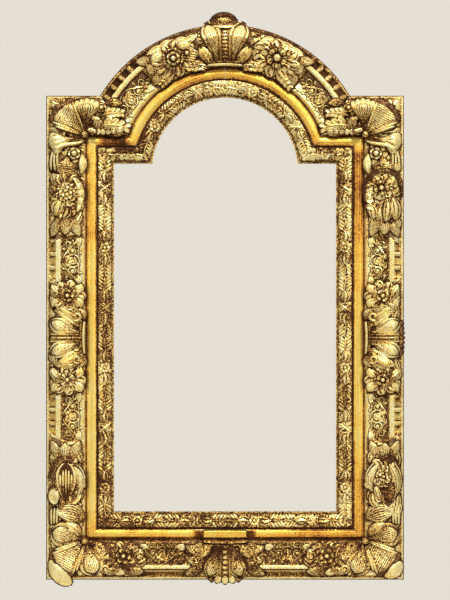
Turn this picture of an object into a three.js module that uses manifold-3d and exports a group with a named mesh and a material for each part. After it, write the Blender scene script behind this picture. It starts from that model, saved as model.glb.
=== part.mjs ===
// A carved giltwood picture frame with an arched top between square shoulders, in millimetres.
// The front faces -Y, the back hangs against a wall at y = 0, and +Z is up. Left and right are as
// seen from the front. The origin is the middle of the bottom rail's bearing face on the wall.
// A place on the moulding is given by its reach, the distance outward from the sight edge, and by
// its height, the distance forward from the wall.

import * as THREE from 'three';
import { mergeVertices } from 'three/addons/utils/BufferGeometryUtils.js';
import Module from 'manifold-3d';

const wasm = await Module();
wasm.setup();

// Sight opening
const sightWidth = 335;
const sightHeight = 524; // sill to the undersides of the shoulders
const archRadius = 110; // sight edge of the arch
const archDrop = 10.5; // arch centre below the undersides of the shoulders

// Moulding widths, outward from the sight edge
const mouldingWidth = 100;
const archMouldingWidth = 107; // the arch is cut from wider stock
const slipWidth = 25; // carved sight moulding, a separate slip
const bandWidth = 14; // plain burnished band
const quirkWidth = 3; // groove between the band and the carved panel
const lipWidth = 4.5; // rounded lip of the panel beside the groove
const ridgeStep = 1.5; // rise from the panel to the ridge
const ridgeWidth = 6;
const hollowWidth = 11;
const edgeWidth = 4; // outer fillet

// Moulding heights, forward from the wall
const bandHeight = 29.5;
const bandCrown = 2.5;
const quirkHeight = 26;
const lipFoot = 30;
const lipHeight = 36;
const panelHigh = 43.5; // panel's outer edge, below the ridge
const panelDepth = 6.5; // hollow of the panel below the line from its lip to its outer edge
const ridgeHeight = 45.5;
const hollowDepth = 8;
const edgeHeight = 34.5;

// Back of the frame
const rebateWidth = 10; // overlap of the slip on the picture
const slipSeat = 16; // height of the shelf that the slip is glued on
const recessDepth = 6; // step that keeps the fittings clear of the wall
const recessMargin = 2;

// Slip section
const lipThickness = 3.7; // at the sight edge
const slipFillet = 2.5;
const slipRise = 10;
const slipStep = 2.5; // small rebate along its outer edge

// Joints and fits
const fitGap = 0.3;
const lap = 0.05; // overlap that closes the mitres of the bedding shape
const keyLength = 44;
const keyEnd = 18; // width at the ends of the bow tie
const keyWaist = 10;
const keyDepth = 12;

// Turn buttons
const buttonWidth = 11;
const buttonTail = 8;
const buttonThickness = 2;
const noseSetback = 3; // tip behind the sight edge
const pivotMargin = 5; // pivot beyond the slip, in the thick of the moulding
const sillButtonOffset = 90; // either side of the middle of the bottom rail
const stileButtonHeight = 210; // above the sill
const archButtonAngle = 50; // degrees above the horizontal

// Screws
const shankRadius = 1.85;
const shankDepth = 11; // length in the wood
const headRadius = 3.8;
const headHeight = 1.7;
const slotWidth = 0.8;
const slotDepth = 0.7;
const swivelGap = 0.15; // between a turning button and its screw

// Hangers
const hangerDrop = 110; // ring axis below the undersides of the shoulders
const strapWidth = 11;
const strapLength = 29; // above the ring axis
const strapThickness = 1;
const strapScrewRise = 22; // screw above the ring axis
const curlGap = 0.2;
const curlEnd = 110; // degrees past the strap where the curl stops
const wireRadius = 1.2;
const ringHalfWidth = 9;
const ringCorner = 2.5;
const ringLeg = 7; // ring axis down to the centre of the bow

// Carved ornament
const carvingBack = 27; // lowest height that a carving reaches down to
const carvingEdge = 2.5; // thickness of a carving at its outline
const baseShare = 0.44; // share of the moulding's width where the shells grow from
const flowerShare = 0.68; // and where the flowers' centres are
const stileFlowerInset = 148; // centres of the upper and lower flowers from the frame's ends
const rosetteStep = 63; // rosette above and below a side shell
const archFlowerAngle = 25; // degrees from the crown
const railFlowerOffset = 152; // either side of the middle of the bottom rail
const tabletLength = 64;
const tabletWidth = 10;
const tabletHeight = 35; // front of the blank tablet

// Places worked out from the sizes above
const half = sightWidth / 2;
const buttonPivot = slipWidth + pivotMargin;
const recessReach = buttonPivot + buttonTail + recessMargin;
const ledgeMiddle = (recessReach + mouldingWidth) / 2;
const sillZ = ledgeMiddle;
const shoulderZ = sillZ + sightHeight;
const archZ = shoulderZ - archDrop;
const archScale = archMouldingWidth / mouldingWidth;
const bottomZ = sillZ - mouldingWidth;
const topZ = shoulderZ + mouldingWidth;
const middleZ = (bottomZ + topZ) / 2;
const bandIn = slipWidth + fitGap;
const bandOut = bandIn + bandWidth;
const panelIn = bandOut + quirkWidth;
const hollowOut = mouldingWidth - edgeWidth;
const ridgeOut = hollowOut - hollowWidth;
const ridgeIn = ridgeOut - ridgeWidth;
const slipBack = slipSeat + fitGap;
const mitreSlack = fitGap / Math.SQRT2;
const buttonBack = recessDepth - fitGap;
const hangerReach = recessReach - ringHalfWidth - recessMargin;
const hangerZ = shoulderZ - hangerDrop;
const curlInner = wireRadius + curlGap;
const curlOuter = curlInner + strapThickness;
const ringHeight = recessDepth - fitGap - curlOuter;
const baseReach = baseShare * mouldingWidth;
const flowerReach = flowerShare * mouldingWidth;
const carvingUnit = mouldingWidth / 100; // carvings are drawn in hundredths of the moulding's width

// Materials
function finish(color, metalness, roughness) {
  return new THREE.MeshStandardMaterial({ color, metalness, roughness });
}
const gilding = finish(0xc8942f, 0.85, 0.38);
const carvedGilding = finish(0xd6a544, 0.85, 0.34);
const slipGilding = finish(0xcfa03c, 0.85, 0.36);
const keyOak = finish(0x8a633a, 0, 0.8);
const brass = finish(0xb08d48, 0.9, 0.35);
const steel = finish(0x86888c, 0.9, 0.4);

const frame = new THREE.Group();

function addPiece(name, geometry, material, parent = frame) {
  const mesh = new THREE.Mesh(geometry, material);
  mesh.name = name;
  parent.add(mesh);
}

// Conversions between three.js geometry and solids for joining and cutting
function toSolid(geometry) {
  const bare = geometry.clone();
  bare.deleteAttribute('normal');
  bare.deleteAttribute('uv');
  const closed = mergeVertices(bare, 1e-4);
  const vertProperties = new Float32Array(closed.attributes.position.array);
  const triVerts = new Uint32Array(closed.index.array);
  return new wasm.Manifold(new wasm.Mesh({ numProp: 3, vertProperties, triVerts }));
}

function toGeometry(solid) {
  const mesh = solid.getMesh();
  const geometry = new THREE.BufferGeometry();
  geometry.setAttribute('position', new THREE.Float32BufferAttribute(mesh.vertProperties, 3));
  geometry.setIndex(Array.from(mesh.triVerts));
  return geometry;
}

// A closed body from its points and faces, turned inside out if its faces point inwards
function closedBody(points, faces) {
  const corner = faces.map((face) => face.map((i) => points[i]));
  const volume = corner.reduce((sum, [a, b, c]) => sum + a.dot(b.clone().cross(c)), 0);
  const outward = volume > 0 ? faces : faces.map(([a, b, c]) => [a, c, b]);
  const geometry = new THREE.BufferGeometry().setFromPoints(points);
  geometry.setIndex(outward.flat());
  return geometry;
}

// Triangles of a flat outline, wound the way that the outline runs
function fillOutline(outline) {
  const forward = !THREE.ShapeUtils.isClockWise(outline);
  return THREE.ShapeUtils.triangulateShape(outline, []).map(([a, b, c]) => {
    const area = THREE.ShapeUtils.area([outline[a], outline[b], outline[c]]);
    return area > 0 === forward ? [a, b, c] : [a, c, b];
  });
}

// A profile of reach and height carried along a rail, with flat-filled ends
function sweep(profile, rail, steps) {
  const points = [];
  for (let j = 0; j <= steps; j++) {
    for (const p of profile) {
      const [x, z] = rail(p.x, j / steps);
      points.push(new THREE.Vector3(x, -p.y, z));
    }
  }
  const n = profile.length;
  const last = steps * n;
  const faces = [];
  for (let j = 0; j < steps; j++) {
    for (let i = 0; i < n; i++) {
      const a = j * n + i;
      const b = j * n + ((i + 1) % n);
      faces.push([a, b, b + n], [a, b + n, a + n]);
    }
  }
  for (const [a, b, c] of fillOutline(profile)) {
    faces.push([a, c, b], [last + a, last + b, last + c]);
  }
  return closedBody(points, faces);
}

// Sections of the moulding and the slip
function frontOfMoulding() {
  const front = [];
  const bandSteps = 4;
  for (let i = 0; i <= bandSteps; i++) {
    const s = i / bandSteps;
    front.push(new THREE.Vector2(bandIn + s * bandWidth, bandHeight + bandCrown * Math.sin(Math.PI * s)));
  }
  front.push(new THREE.Vector2(bandOut + quirkWidth / 2, quirkHeight));
  front.push(new THREE.Vector2(panelIn, lipFoot));
  const lipOut = panelIn + lipWidth;
  front.push(new THREE.Vector2((panelIn + lipOut) / 2, lipHeight));
  const panelSteps = 5;
  const panelOut = ridgeIn - ridgeStep;
  for (let i = 0; i <= panelSteps; i++) {
    const s = i / panelSteps;
    const slope = lipHeight + s * (panelHigh - lipHeight);
    front.push(new THREE.Vector2(lipOut + s * (panelOut - lipOut), slope - panelDepth * Math.sin(Math.PI * s)));
  }
  front.push(new THREE.Vector2(ridgeIn, ridgeHeight));
  front.push(new THREE.Vector2(ridgeOut, ridgeHeight));
  const hollowSteps = 4;
  for (let i = 1; i <= hollowSteps; i++) {
    const s = i / hollowSteps;
    const slope = ridgeHeight + s * (edgeHeight - ridgeHeight);
    front.push(new THREE.Vector2(ridgeOut + s * hollowWidth, slope - hollowDepth * Math.sin(Math.PI * s)));
  }
  front.push(new THREE.Vector2(mouldingWidth, edgeHeight));
  return front;
}

function mouldingProfile() {
  return [
    new THREE.Vector2(rebateWidth, slipSeat),
    new THREE.Vector2(bandIn, slipSeat),
    ...frontOfMoulding(),
    new THREE.Vector2(mouldingWidth, 0),
    new THREE.Vector2(recessReach, 0),
    new THREE.Vector2(recessReach, recessDepth),
    new THREE.Vector2(rebateWidth, recessDepth),
  ];
}

// The shape that carvings are bedded on: the moulding grown by the fit gap and filled at the back
function beddingProfile() {
  const front = frontOfMoulding();
  const grown = front.map((p, i) => {
    const before = front[Math.max(i - 1, 0)];
    const after = front[Math.min(i + 1, front.length - 1)];
    const along = after.clone().sub(before).normalize();
    return new THREE.Vector2(p.x - along.y * fitGap, p.y + along.x * fitGap);
  });
  const outside = mouldingWidth + fitGap;
  return [
    new THREE.Vector2(rebateWidth, slipSeat),
    new THREE.Vector2(grown[0].x, slipSeat),
    ...grown,
    new THREE.Vector2(outside, edgeHeight + fitGap),
    new THREE.Vector2(outside, 0),
    new THREE.Vector2(rebateWidth, 0),
  ];
}

function slipProfile() {
  const lipFront = slipBack + lipThickness;
  const profile = [
    new THREE.Vector2(0, slipBack),
    new THREE.Vector2(0, lipFront),
    new THREE.Vector2(slipFillet, lipFront),
  ];
  const steps = 5;
  const cymaOut = slipWidth - slipStep;
  for (let i = 0; i <= steps; i++) {
    const s = i / steps;
    const reach = slipFillet + fitGap + s * (cymaOut - slipFillet - fitGap);
    profile.push(new THREE.Vector2(reach, lipFront + slipRise * Math.sin((Math.PI / 2) * (0.15 + 0.85 * s))));
  }
  profile.push(
    new THREE.Vector2(slipWidth - slipStep / 2, lipFront + slipRise - slipStep),
    new THREE.Vector2(slipWidth, lipFront + slipRise - slipStep),
    new THREE.Vector2(slipWidth, slipBack),
  );
  return profile;
}

// Rails that the sections follow. Each ends in a mitre, with some slack short of its neighbour.
function arcRadius(reach) {
  return archRadius + archScale * reach;
}

function notchAngle(reach) {
  return Math.asin((archDrop + reach) / arcRadius(reach));
}

function notchX(reach) {
  return arcRadius(reach) * Math.cos(notchAngle(reach));
}

function sillRail(slack) {
  return (reach, s) => [(half + reach - slack) * (2 * s - 1), sillZ - reach];
}

function stileRail(side, slack) {
  return (reach, s) => {
    const low = sillZ - reach + slack;
    const high = shoulderZ + reach - slack;
    return [side * (half + reach), low + s * (high - low)];
  };
}

function shoulderRail(side, slack) {
  return (reach, s) => {
    const outer = half + reach - slack;
    const inner = notchX(reach) + slack;
    return [side * (outer + s * (inner - outer)), shoulderZ + reach];
  };
}

function archRail(side, slack) {
  return (reach, s) => {
    const radius = arcRadius(reach);
    const low = notchAngle(reach) + slack / radius;
    const angle = low + s * (Math.PI / 2 - slack / radius - low);
    return [side * radius * Math.cos(angle), archZ + radius * Math.sin(angle)];
  };
}

function wholeArchRail(slack) {
  return (reach, s) => {
    const radius = arcRadius(reach);
    const low = notchAngle(reach) + slack / radius;
    const angle = low + s * (Math.PI - 2 * low);
    return [radius * Math.cos(angle), archZ + radius * Math.sin(angle)];
  };
}

const sides = { left: -1, right: 1 };
const archSteps = 10;

// Bow-tie keys let into the back across every joint
function bowTie(grow) {
  const long = keyLength / 2 + grow;
  const end = keyEnd / 2 + grow;
  const waist = keyWaist / 2 + grow;
  const outline = [
    [long, -end], [long, end], [0, waist], [-long, end], [-long, -end], [0, -waist],
  ];
  return new THREE.Shape(outline.map(([x, y]) => new THREE.Vector2(x, y)));
}

// An extruded outline whose own plane becomes the picture plane, from one height to another
function slab(shape, low, high, curveSegments = 6) {
  const options = { depth: high - low, bevelEnabled: false, curveSegments };
  return new THREE.ExtrudeGeometry(shape, options).rotateX(Math.PI / 2).translate(0, -low, 0);
}

function pointOnRing(radius, angle) {
  return [radius * Math.cos(angle), archZ + radius * Math.sin(angle)];
}

const diagonal = Math.PI / 4;
const keyPlaces = {
  key_crown: { at: pointOnRing(arcRadius(ledgeMiddle), Math.PI / 2), turn: 0 },
};
for (const [word, side] of Object.entries(sides)) {
  const out = half + ledgeMiddle;
  const notch = [side * notchX(ledgeMiddle), shoulderZ + ledgeMiddle];
  const further = [side * notchX(ledgeMiddle + 1), shoulderZ + ledgeMiddle + 1];
  const along = Math.atan2(further[1] - notch[1], further[0] - notch[0]);
  keyPlaces[`key_bottom_${word}`] = { at: [side * out, sillZ - ledgeMiddle], turn: side * diagonal };
  keyPlaces[`key_top_${word}`] = { at: [side * out, shoulderZ + ledgeMiddle], turn: -side * diagonal };
  keyPlaces[`key_${word}_notch`] = { at: notch, turn: along + Math.PI / 2 };
}

function keyBody({ at, turn }, grow, low, high) {
  return slab(bowTie(grow), low, high).rotateY(-turn).translate(at[0], 0, at[1]);
}

const pockets = Object.values(keyPlaces).map((place) => {
  return toSolid(keyBody(place, fitGap, -fitGap, keyDepth + fitGap));
});

// Turn buttons and hangers, each with the turn that points its nose at the sight opening
const buttonPlaces = {};
const hangerPlaces = {};
for (const [word, side] of Object.entries(sides)) {
  const rise = THREE.MathUtils.degToRad(archButtonAngle);
  const [archX, archButtonZ] = pointOnRing(arcRadius(buttonPivot), rise);
  buttonPlaces[`bottom_${word}`] = { x: side * sillButtonOffset, z: sillZ - buttonPivot, turn: 0 };
  buttonPlaces[`stile_${word}`] = {
    x: side * (half + buttonPivot),
    z: sillZ + stileButtonHeight,
    turn: -side * (Math.PI / 2),
  };
  const toCentre = Math.atan2(-side * archX, archZ - archButtonZ);
  buttonPlaces[`arch_${word}`] = { x: side * archX, z: archButtonZ, turn: toCentre };
  hangerPlaces[word] = { x: side * (half + hangerReach), z: hangerZ };
}

function pilotHole(x, z) {
  const radius = shankRadius + fitGap;
  const depth = shankDepth + 2 * fitGap;
  const hole = new THREE.CylinderGeometry(radius, radius, depth, 12);
  return toSolid(hole.translate(x, -recessDepth - depth / 2 + fitGap, z));
}

const holes = [
  ...Object.values(buttonPlaces).map(({ x, z }) => pilotHole(x, z)),
  ...Object.values(hangerPlaces).map(({ x, z }) => pilotHole(x, z + strapScrewRise)),
];
const backCuts = [...pockets, ...holes].reduce((all, cut) => all.add(cut));

// Members of the main moulding
function addMember(name, rail, steps) {
  const blank = toSolid(sweep(mouldingProfile(), rail, steps));
  addPiece(name, toGeometry(blank.subtract(backCuts)), gilding);
}

addMember('bottom_rail', sillRail(mitreSlack), 1);
for (const [word, side] of Object.entries(sides)) {
  addMember(`${word}_stile`, stileRail(side, mitreSlack), 1);
  addMember(`${word}_shoulder`, shoulderRail(side, mitreSlack), 1);
  addMember(`${word}_arch`, archRail(side, mitreSlack), archSteps);
}

for (const [name, place] of Object.entries(keyPlaces)) {
  addPiece(name, keyBody(place, 0, fitGap, keyDepth), keyOak);
}

// Slip mouldings on the shelf inside the main moulding
function addSlip(name, rail, steps) {
  addPiece(name, sweep(slipProfile(), rail, steps), slipGilding);
}

addSlip('slip_bottom', sillRail(mitreSlack), 1);
addSlip('slip_arch', wholeArchRail(mitreSlack), 2 * archSteps);
for (const [word, side] of Object.entries(sides)) {
  addSlip(`slip_${word}`, stileRail(side, mitreSlack), 1);
  addSlip(`slip_${word}_shoulder`, shoulderRail(side, mitreSlack), 1);
}

// Reach of a point in the picture plane, with mitred corners
function reachOf(x, z) {
  const arch = (Math.hypot(x, z - archZ) - archRadius) / archScale;
  return Math.max(Math.abs(x) - half, sillZ - z, Math.min(z - shoulderZ, arch));
}

// The moulding's front with its grooves bridged over, which the carvings rise from
function bridgedFront() {
  const hull = [];
  for (const p of frontOfMoulding()) {
    while (hull.length > 1) {
      const [a, b] = hull.slice(-2);
      if ((b.x - a.x) * (p.y - a.y) < (b.y - a.y) * (p.x - a.x)) {
        break;
      }
      hull.pop();
    }
    hull.push(p);
  }
  return hull;
}

const bridge = bridgedFront();

function bridgeHeight(reach) {
  const last = bridge.length - 2;
  const found = bridge.findIndex((p, i) => i <= last && reach <= bridge[i + 1].x);
  const i = found < 0 ? last : found;
  const s = (reach - bridge[i].x) / (bridge[i + 1].x - bridge[i].x);
  return bridge[i].y + Math.max(s, 0) * (bridge[i + 1].y - bridge[i].y);
}

// A solid of three like rings, back, edge and crown, and one last point on top
function ringedBody(points, outline) {
  const n = outline.length;
  const faces = [];
  for (let i = 0; i < n; i++) {
    const next = (i + 1) % n;
    for (const ring of [0, n]) {
      faces.push([ring + i, ring + next, ring + n + next], [ring + i, ring + n + next, ring + n + i]);
    }
    faces.push([2 * n + i, 2 * n + next, 3 * n]);
  }
  for (const [a, b, c] of fillOutline(outline)) {
    faces.push([a, c, b]);
  }
  return toSolid(closedBody(points, faces));
}

// A carved swelling on a closed outline: its edge stands on the moulding and its top is domed
const shoulderShare = 0.58; // how far out the flat of the dome goes
const shoulderRise = 0.72; // and how high it is there

function swelling(outline, centre, rise) {
  const top = ([x, z], lift) => new THREE.Vector3(x, -bridgeHeight(reachOf(x, z)) - lift, z);
  const inward = ([x, z]) => {
    return [centre[0] + shoulderShare * (x - centre[0]), centre[1] + shoulderShare * (z - centre[1])];
  };
  const points = [
    ...outline.map(([x, z]) => new THREE.Vector3(x, -carvingBack, z)),
    ...outline.map((p) => top(p, carvingEdge)),
    ...outline.map((p) => top(inward(p), carvingEdge + shoulderRise * rise * carvingUnit)),
    top(centre, carvingEdge + rise * carvingUnit),
  ];
  return ringedBody(points, outline.map(([x, z]) => new THREE.Vector2(x, z)));
}

// A carver's local plane at a point of the frame: v grows along the heading, u lies to its side
function carvingPlane(x, z, heading, flip = 1) {
  const [c, s] = [carvingUnit * Math.cos(heading), carvingUnit * Math.sin(heading)];
  return (u, v) => [x + v * c + flip * u * s, z + v * s - flip * u * c];
}

// A pear-shaped lobe that starts at (u, v) and leans by turn from the heading
function lobe(plane, { u = 0, v = 0, turn = 0, length, girth, rise, peak = 0.62 }) {
  const lean = THREE.MathUtils.degToRad(turn);
  const place = (across, along) => {
    const right = across * Math.cos(lean) + along * Math.sin(lean);
    return plane(u + right, v + along * Math.cos(lean) - across * Math.sin(lean));
  };
  const bend = Math.log(0.5) / Math.log(peak);
  const stations = 3;
  const flank = [];
  for (let i = 1; i <= stations; i++) {
    const s = (1 - Math.cos((Math.PI * i) / (stations + 1))) / 2;
    flank.push([(girth / 2) * Math.sin(Math.PI * s ** bend) ** 0.75, s * length]);
  }
  const back = flank.toReversed().map(([across, along]) => [-across, along]);
  const outline = [[0, 0], ...flank, [0, length], ...back].map((p) => place(...p));
  return swelling(outline, place(0, peak * length), rise);
}

// A round or oval boss centred on (u, v)
function boss(plane, { u = 0, v = 0, across, along = across, rise, sides: count = 8 }) {
  const outline = [];
  for (let i = 0; i < count; i++) {
    const angle = (2 * Math.PI * i) / count;
    outline.push(plane(u + across * Math.cos(angle), v + along * Math.sin(angle)));
  }
  return swelling(outline, plane(u, v), rise);
}

const bedding = [
  sweep(beddingProfile(), sillRail(-lap), 1),
  ...Object.values(sides).flatMap((side) => [
    sweep(beddingProfile(), stileRail(side, -lap), 1),
    sweep(beddingProfile(), shoulderRail(side, -lap), 1),
    sweep(beddingProfile(), archRail(side, -lap), archSteps),
  ]),
].map(toSolid).reduce((all, piece) => all.add(piece));

function addCarving(name, swellings) {
  const carved = swellings.reduce((all, one) => all.add(one)).subtract(bedding);
  addPiece(name, toGeometry(carved), carvedGilding);
}

function pair(make) {
  return [make(1), make(-1)];
}

// A shell seen upright: base bar, ribbed stem, two pear lobes and small side leaves
function shell(plane, { reach, spread, cap }) {
  const pieces = [
    boss(plane, { v: 2, across: 25, along: 5, rise: 5 }),
    lobe(plane, { v: 0, length: reach, girth: 20, rise: 8, peak: 0.55 }),
    ...pair((s) => lobe(plane, { u: 5 * s, v: 1, turn: spread * s, length: reach, girth: 25, rise: 8, peak: 0.7 })),
    ...pair((s) => lobe(plane, { u: 12 * s, v: 0, turn: 62 * s, length: 31, girth: 15, rise: 3 })),
  ];
  if (cap) {
    pieces.push(boss(plane, cap));
  }
  return pieces;
}

// A corner shell that fans out from the inner corner of the panel to the outer corner, with a bead
function cornerShell(plane, bead) {
  return [
    boss(plane, { v: 5, across: 11, rise: 6 }),
    lobe(plane, { length: 78, girth: 44, rise: 2, peak: 0.7 }),
    lobe(plane, { length: 60, girth: 24, rise: 7, peak: 0.68 }),
    ...pair((s) => lobe(plane, { turn: 30 * s, length: 57, girth: 27, rise: 8, peak: 0.7 })),
    ...pair((s) => lobe(plane, { turn: 60 * s, length: 55, girth: 22, rise: 5, peak: 0.66 })),
    ...pair((s) => boss(plane, { u: 25 * s, v: 3, across: 8, rise: 6 })),
    boss(plane, bead),
  ];
}

// An open flower in one piece: petals as swellings of a scalloped ring, with dips between them
function bloom(plane, { petals, radius, rise }) {
  const perPetal = 4;
  const count = petals * perPetal;
  const ring = (share, low, high) => {
    const points = [];
    for (let i = 0; i < count; i++) {
      const swell = Math.abs(Math.sin((Math.PI * i) / perPetal));
      const angle = (2 * Math.PI * i) / count;
      const r = radius * share * (0.76 + 0.24 * swell);
      const [x, z] = plane(r * Math.sin(angle), r * Math.cos(angle));
      points.push({ x, z, lift: low + (high - low) * swell });
    }
    return points;
  };
  const outline = ring(1, carvingEdge, carvingEdge);
  const crownRise = rise * carvingUnit;
  const crown = ring(0.62, carvingEdge + 0.4 * crownRise, carvingEdge + crownRise);
  const front = ({ x, z, lift }) => new THREE.Vector3(x, -bridgeHeight(reachOf(x, z)) - lift, z);
  const [x, z] = plane(0, 0);
  const points = [
    ...outline.map((p) => new THREE.Vector3(p.x, -carvingBack, p.z)),
    ...outline.map(front),
    ...crown.map(front),
    front({ x, z, lift: carvingEdge + 0.5 * crownRise }),
  ];
  return ringedBody(points, outline.map((p) => new THREE.Vector2(p.x, p.z)));
}

// A flower with its boss, and leaves on either side
function flower(plane, { petals, radius, rise, leaves }) {
  return [
    bloom(plane, { petals, radius, rise }),
    boss(plane, { across: radius * 0.3, rise: rise + 1 }),
    ...leaves.map(([turn, length, girth]) => lobe(plane, { turn, length, girth, rise: 3, peak: 0.55 })),
  ];
}

const east = 0;
const north = Math.PI / 2;
const west = Math.PI;
const south = -Math.PI / 2;

const crestBase = pointOnRing(arcRadius(baseReach), north);
const crestCap = { v: 61, across: 20, along: 13, rise: 6 };
addCarving('crest_shell', shell(carvingPlane(...crestBase, north), { reach: 54, spread: 29, cap: crestCap }));

const bottomCap = { v: 53, across: 17, along: 9, rise: 5 };
const bottomPlane = carvingPlane(0, sillZ - baseReach, south);
addCarving('bottom_shell', shell(bottomPlane, { reach: 48, spread: 27, cap: bottomCap }));

const upperBead = { v: 66, across: 9, rise: 3 };
const lowerBead = { u: -12, v: 66, across: 9, rise: 5 };
const rosetteLeaves = [[90, 21, 14], [-90, 21, 14]];
for (const [word, side] of Object.entries(sides)) {
  const outward = side > 0 ? east : west;
  const onStile = (reach, z) => carvingPlane(side * (half + reach), z, outward, side);
  addCarving(`side_shell_${word}`, shell(onStile(baseReach, middleZ), { reach: 55, spread: 25 }));

  const corner = half + baseReach;
  const upper = carvingPlane(side * corner, shoulderZ + baseReach, north - side * diagonal, side);
  const lower = carvingPlane(side * corner, sillZ - baseReach, south + side * diagonal, -side);
  addCarving(`corner_shell_top_${word}`, cornerShell(upper, upperBead));
  addCarving(`corner_shell_bottom_${word}`, cornerShell(lower, lowerBead));

  const stileLeaves = [[96, 36, 24], [-96, 36, 24], [45, 29, 18], [-45, 29, 18]];
  const upperFlower = { petals: 6, radius: 20, rise: 8, leaves: stileLeaves };
  const lowerFlower = { petals: 5, radius: 22, rise: 9, leaves: stileLeaves };
  addCarving(`upper_flower_${word}`, flower(onStile(flowerReach, topZ - stileFlowerInset), upperFlower));
  addCarving(`lower_flower_${word}`, flower(onStile(flowerReach, bottomZ + stileFlowerInset), lowerFlower));

  const rosette = { petals: 6, radius: 15, rise: 6, leaves: rosetteLeaves };
  addCarving(`rosette_${word}_upper`, flower(onStile(flowerReach, middleZ + rosetteStep), rosette));
  addCarving(`rosette_${word}_lower`, flower(onStile(flowerReach, middleZ - rosetteStep), rosette));

  const lean = north - side * THREE.MathUtils.degToRad(archFlowerAngle);
  const archPlane = carvingPlane(...pointOnRing(arcRadius(flowerReach), lean), lean, side);
  const archLeaves = [[90, 34, 24], [-90, 30, 22], [145, 27, 18]];
  addCarving(`arch_flower_${word}`, flower(archPlane, { petals: 5, radius: 21, rise: 9, leaves: archLeaves }));

  const railPlane = carvingPlane(side * railFlowerOffset, sillZ - flowerReach, south, -side);
  const railLeaves = [[90, 24, 16], [-90, 26, 16]];
  addCarving(`bottom_flower_${word}`, flower(railPlane, { petals: 5, radius: 17, rise: 6, leaves: railLeaves }));
}

// Blank name tablet on the burnished band of the bottom rail
function rectangle(width, height) {
  const corners = [[-1, -1], [1, -1], [1, 1], [-1, 1]];
  return new THREE.Shape(corners.map(([x, y]) => new THREE.Vector2((x * width) / 2, (y * height) / 2)));
}

const tabletBlank = slab(rectangle(tabletLength, tabletWidth), bandHeight, tabletHeight);
const tablet = toSolid(tabletBlank.translate(0, 0, sillZ - bandIn - bandWidth / 2));
addPiece('name_tablet', toGeometry(tablet.subtract(bedding)), carvedGilding);

// Slotted round-head screw along Y, with its head's underside at the given height
function screw(headUnderside) {
  const tip = recessDepth + shankDepth;
  const taper = 2 * shankRadius;
  const face = headUnderside - headHeight;
  const outline = [
    [0, tip], [shankRadius, tip - taper], [shankRadius, headUnderside], [headRadius, headUnderside],
    [headRadius, headUnderside - headHeight / 3], [0.7 * headRadius, face], [0, face],
  ];
  const turned = new THREE.LatheGeometry(outline.map(([r, h]) => new THREE.Vector2(r, -h)), 12);
  const slot = new THREE.BoxGeometry(3 * headRadius, 2 * slotDepth, slotWidth).translate(0, -face, 0);
  return toGeometry(toSolid(turned).subtract(toSolid(slot)));
}

function buttonShape() {
  const r = buttonWidth / 2;
  const nose = buttonPivot - noseSetback - r;
  const shape = new THREE.Shape();
  shape.absarc(0, nose, r, 0, Math.PI);
  shape.absarc(0, r - buttonTail, r, Math.PI, 2 * Math.PI);
  const eye = new THREE.Path();
  eye.absarc(0, 0, shankRadius + swivelGap, 0, 2 * Math.PI, true);
  shape.holes.push(eye);
  return shape;
}

for (const [word, { x, z, turn }] of Object.entries(buttonPlaces)) {
  const pivot = new THREE.Group();
  pivot.position.set(x, 0, z);
  pivot.rotation.y = turn;
  frame.add(pivot);
  const buttonFront = buttonBack - buttonThickness;
  addPiece(`turn_button_${word}`, slab(buttonShape(), buttonFront, buttonBack), brass, pivot);
  addPiece(`turn_button_screw_${word}`, screw(buttonFront - fitGap), steel, pivot);
}

// Strap bent round the bar of its ring: a strip with a curl at its lower end, as wide as the strap
function strapBody() {
  const back = -(recessDepth - fitGap);
  const face = back + strapThickness;
  const turns = 10;
  const arc = (radius) => {
    const points = [];
    for (let i = 0; i <= turns; i++) {
      const angle = Math.PI + THREE.MathUtils.degToRad(180 + curlEnd) * (i / turns);
      points.push(new THREE.Vector2(radius * Math.cos(angle) - ringHeight, radius * Math.sin(angle)));
    }
    return points;
  };
  const outline = [
    new THREE.Vector2(face, strapLength),
    new THREE.Vector2(back, strapLength),
    ...arc(curlOuter),
    ...arc(curlInner).toReversed(),
  ];
  const options = { depth: strapWidth, bevelEnabled: false };
  const strip = new THREE.ExtrudeGeometry(new THREE.Shape(outline), options).translate(0, 0, -strapWidth / 2);
  const axes = [new THREE.Vector3(0, 1, 0), new THREE.Vector3(0, 0, 1), new THREE.Vector3(1, 0, 0)];
  strip.applyMatrix4(new THREE.Matrix4().makeBasis(...axes));
  const eyeRadius = shankRadius + fitGap;
  const eye = new THREE.CylinderGeometry(eyeRadius, eyeRadius, 6 * strapThickness, 12);
  return toGeometry(toSolid(strip).subtract(toSolid(eye.translate(0, face, strapScrewRise))));
}

// D-shaped wire ring round a closed line: a bar in the curl, two legs and a round bow
function ringBody() {
  const line = [];
  const bar = ringHalfWidth - ringCorner;
  const addArc = (x, z, radius, from, to, count) => {
    for (let i = 0; i <= count; i++) {
      const angle = THREE.MathUtils.degToRad(from + ((to - from) * i) / count);
      line.push(new THREE.Vector2(x + radius * Math.cos(angle), z + radius * Math.sin(angle)));
    }
  };
  addArc(bar, -ringCorner, ringCorner, 90, 0, 3);
  addArc(0, -ringLeg, ringHalfWidth, 0, -180, 12);
  addArc(-bar, -ringCorner, ringCorner, 180, 90, 3);
  const n = line.length;
  const around = 6;
  const points = [];
  const faces = [];
  line.forEach((p, j) => {
    const along = line[(j + 1) % n].clone().sub(line[(j + n - 1) % n]).normalize();
    for (let i = 0; i < around; i++) {
      const angle = (2 * Math.PI * i) / around;
      const side = wireRadius * Math.cos(angle);
      const depth = wireRadius * Math.sin(angle) - ringHeight;
      points.push(new THREE.Vector3(p.x - along.y * side, depth, p.y + along.x * side));
      const next = (i + 1) % around;
      const here = j * around;
      const there = ((j + 1) % n) * around;
      faces.push([here + i, here + next, there + next], [here + i, there + next, there + i]);
    }
  });
  return closedBody(points, faces);
}

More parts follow.
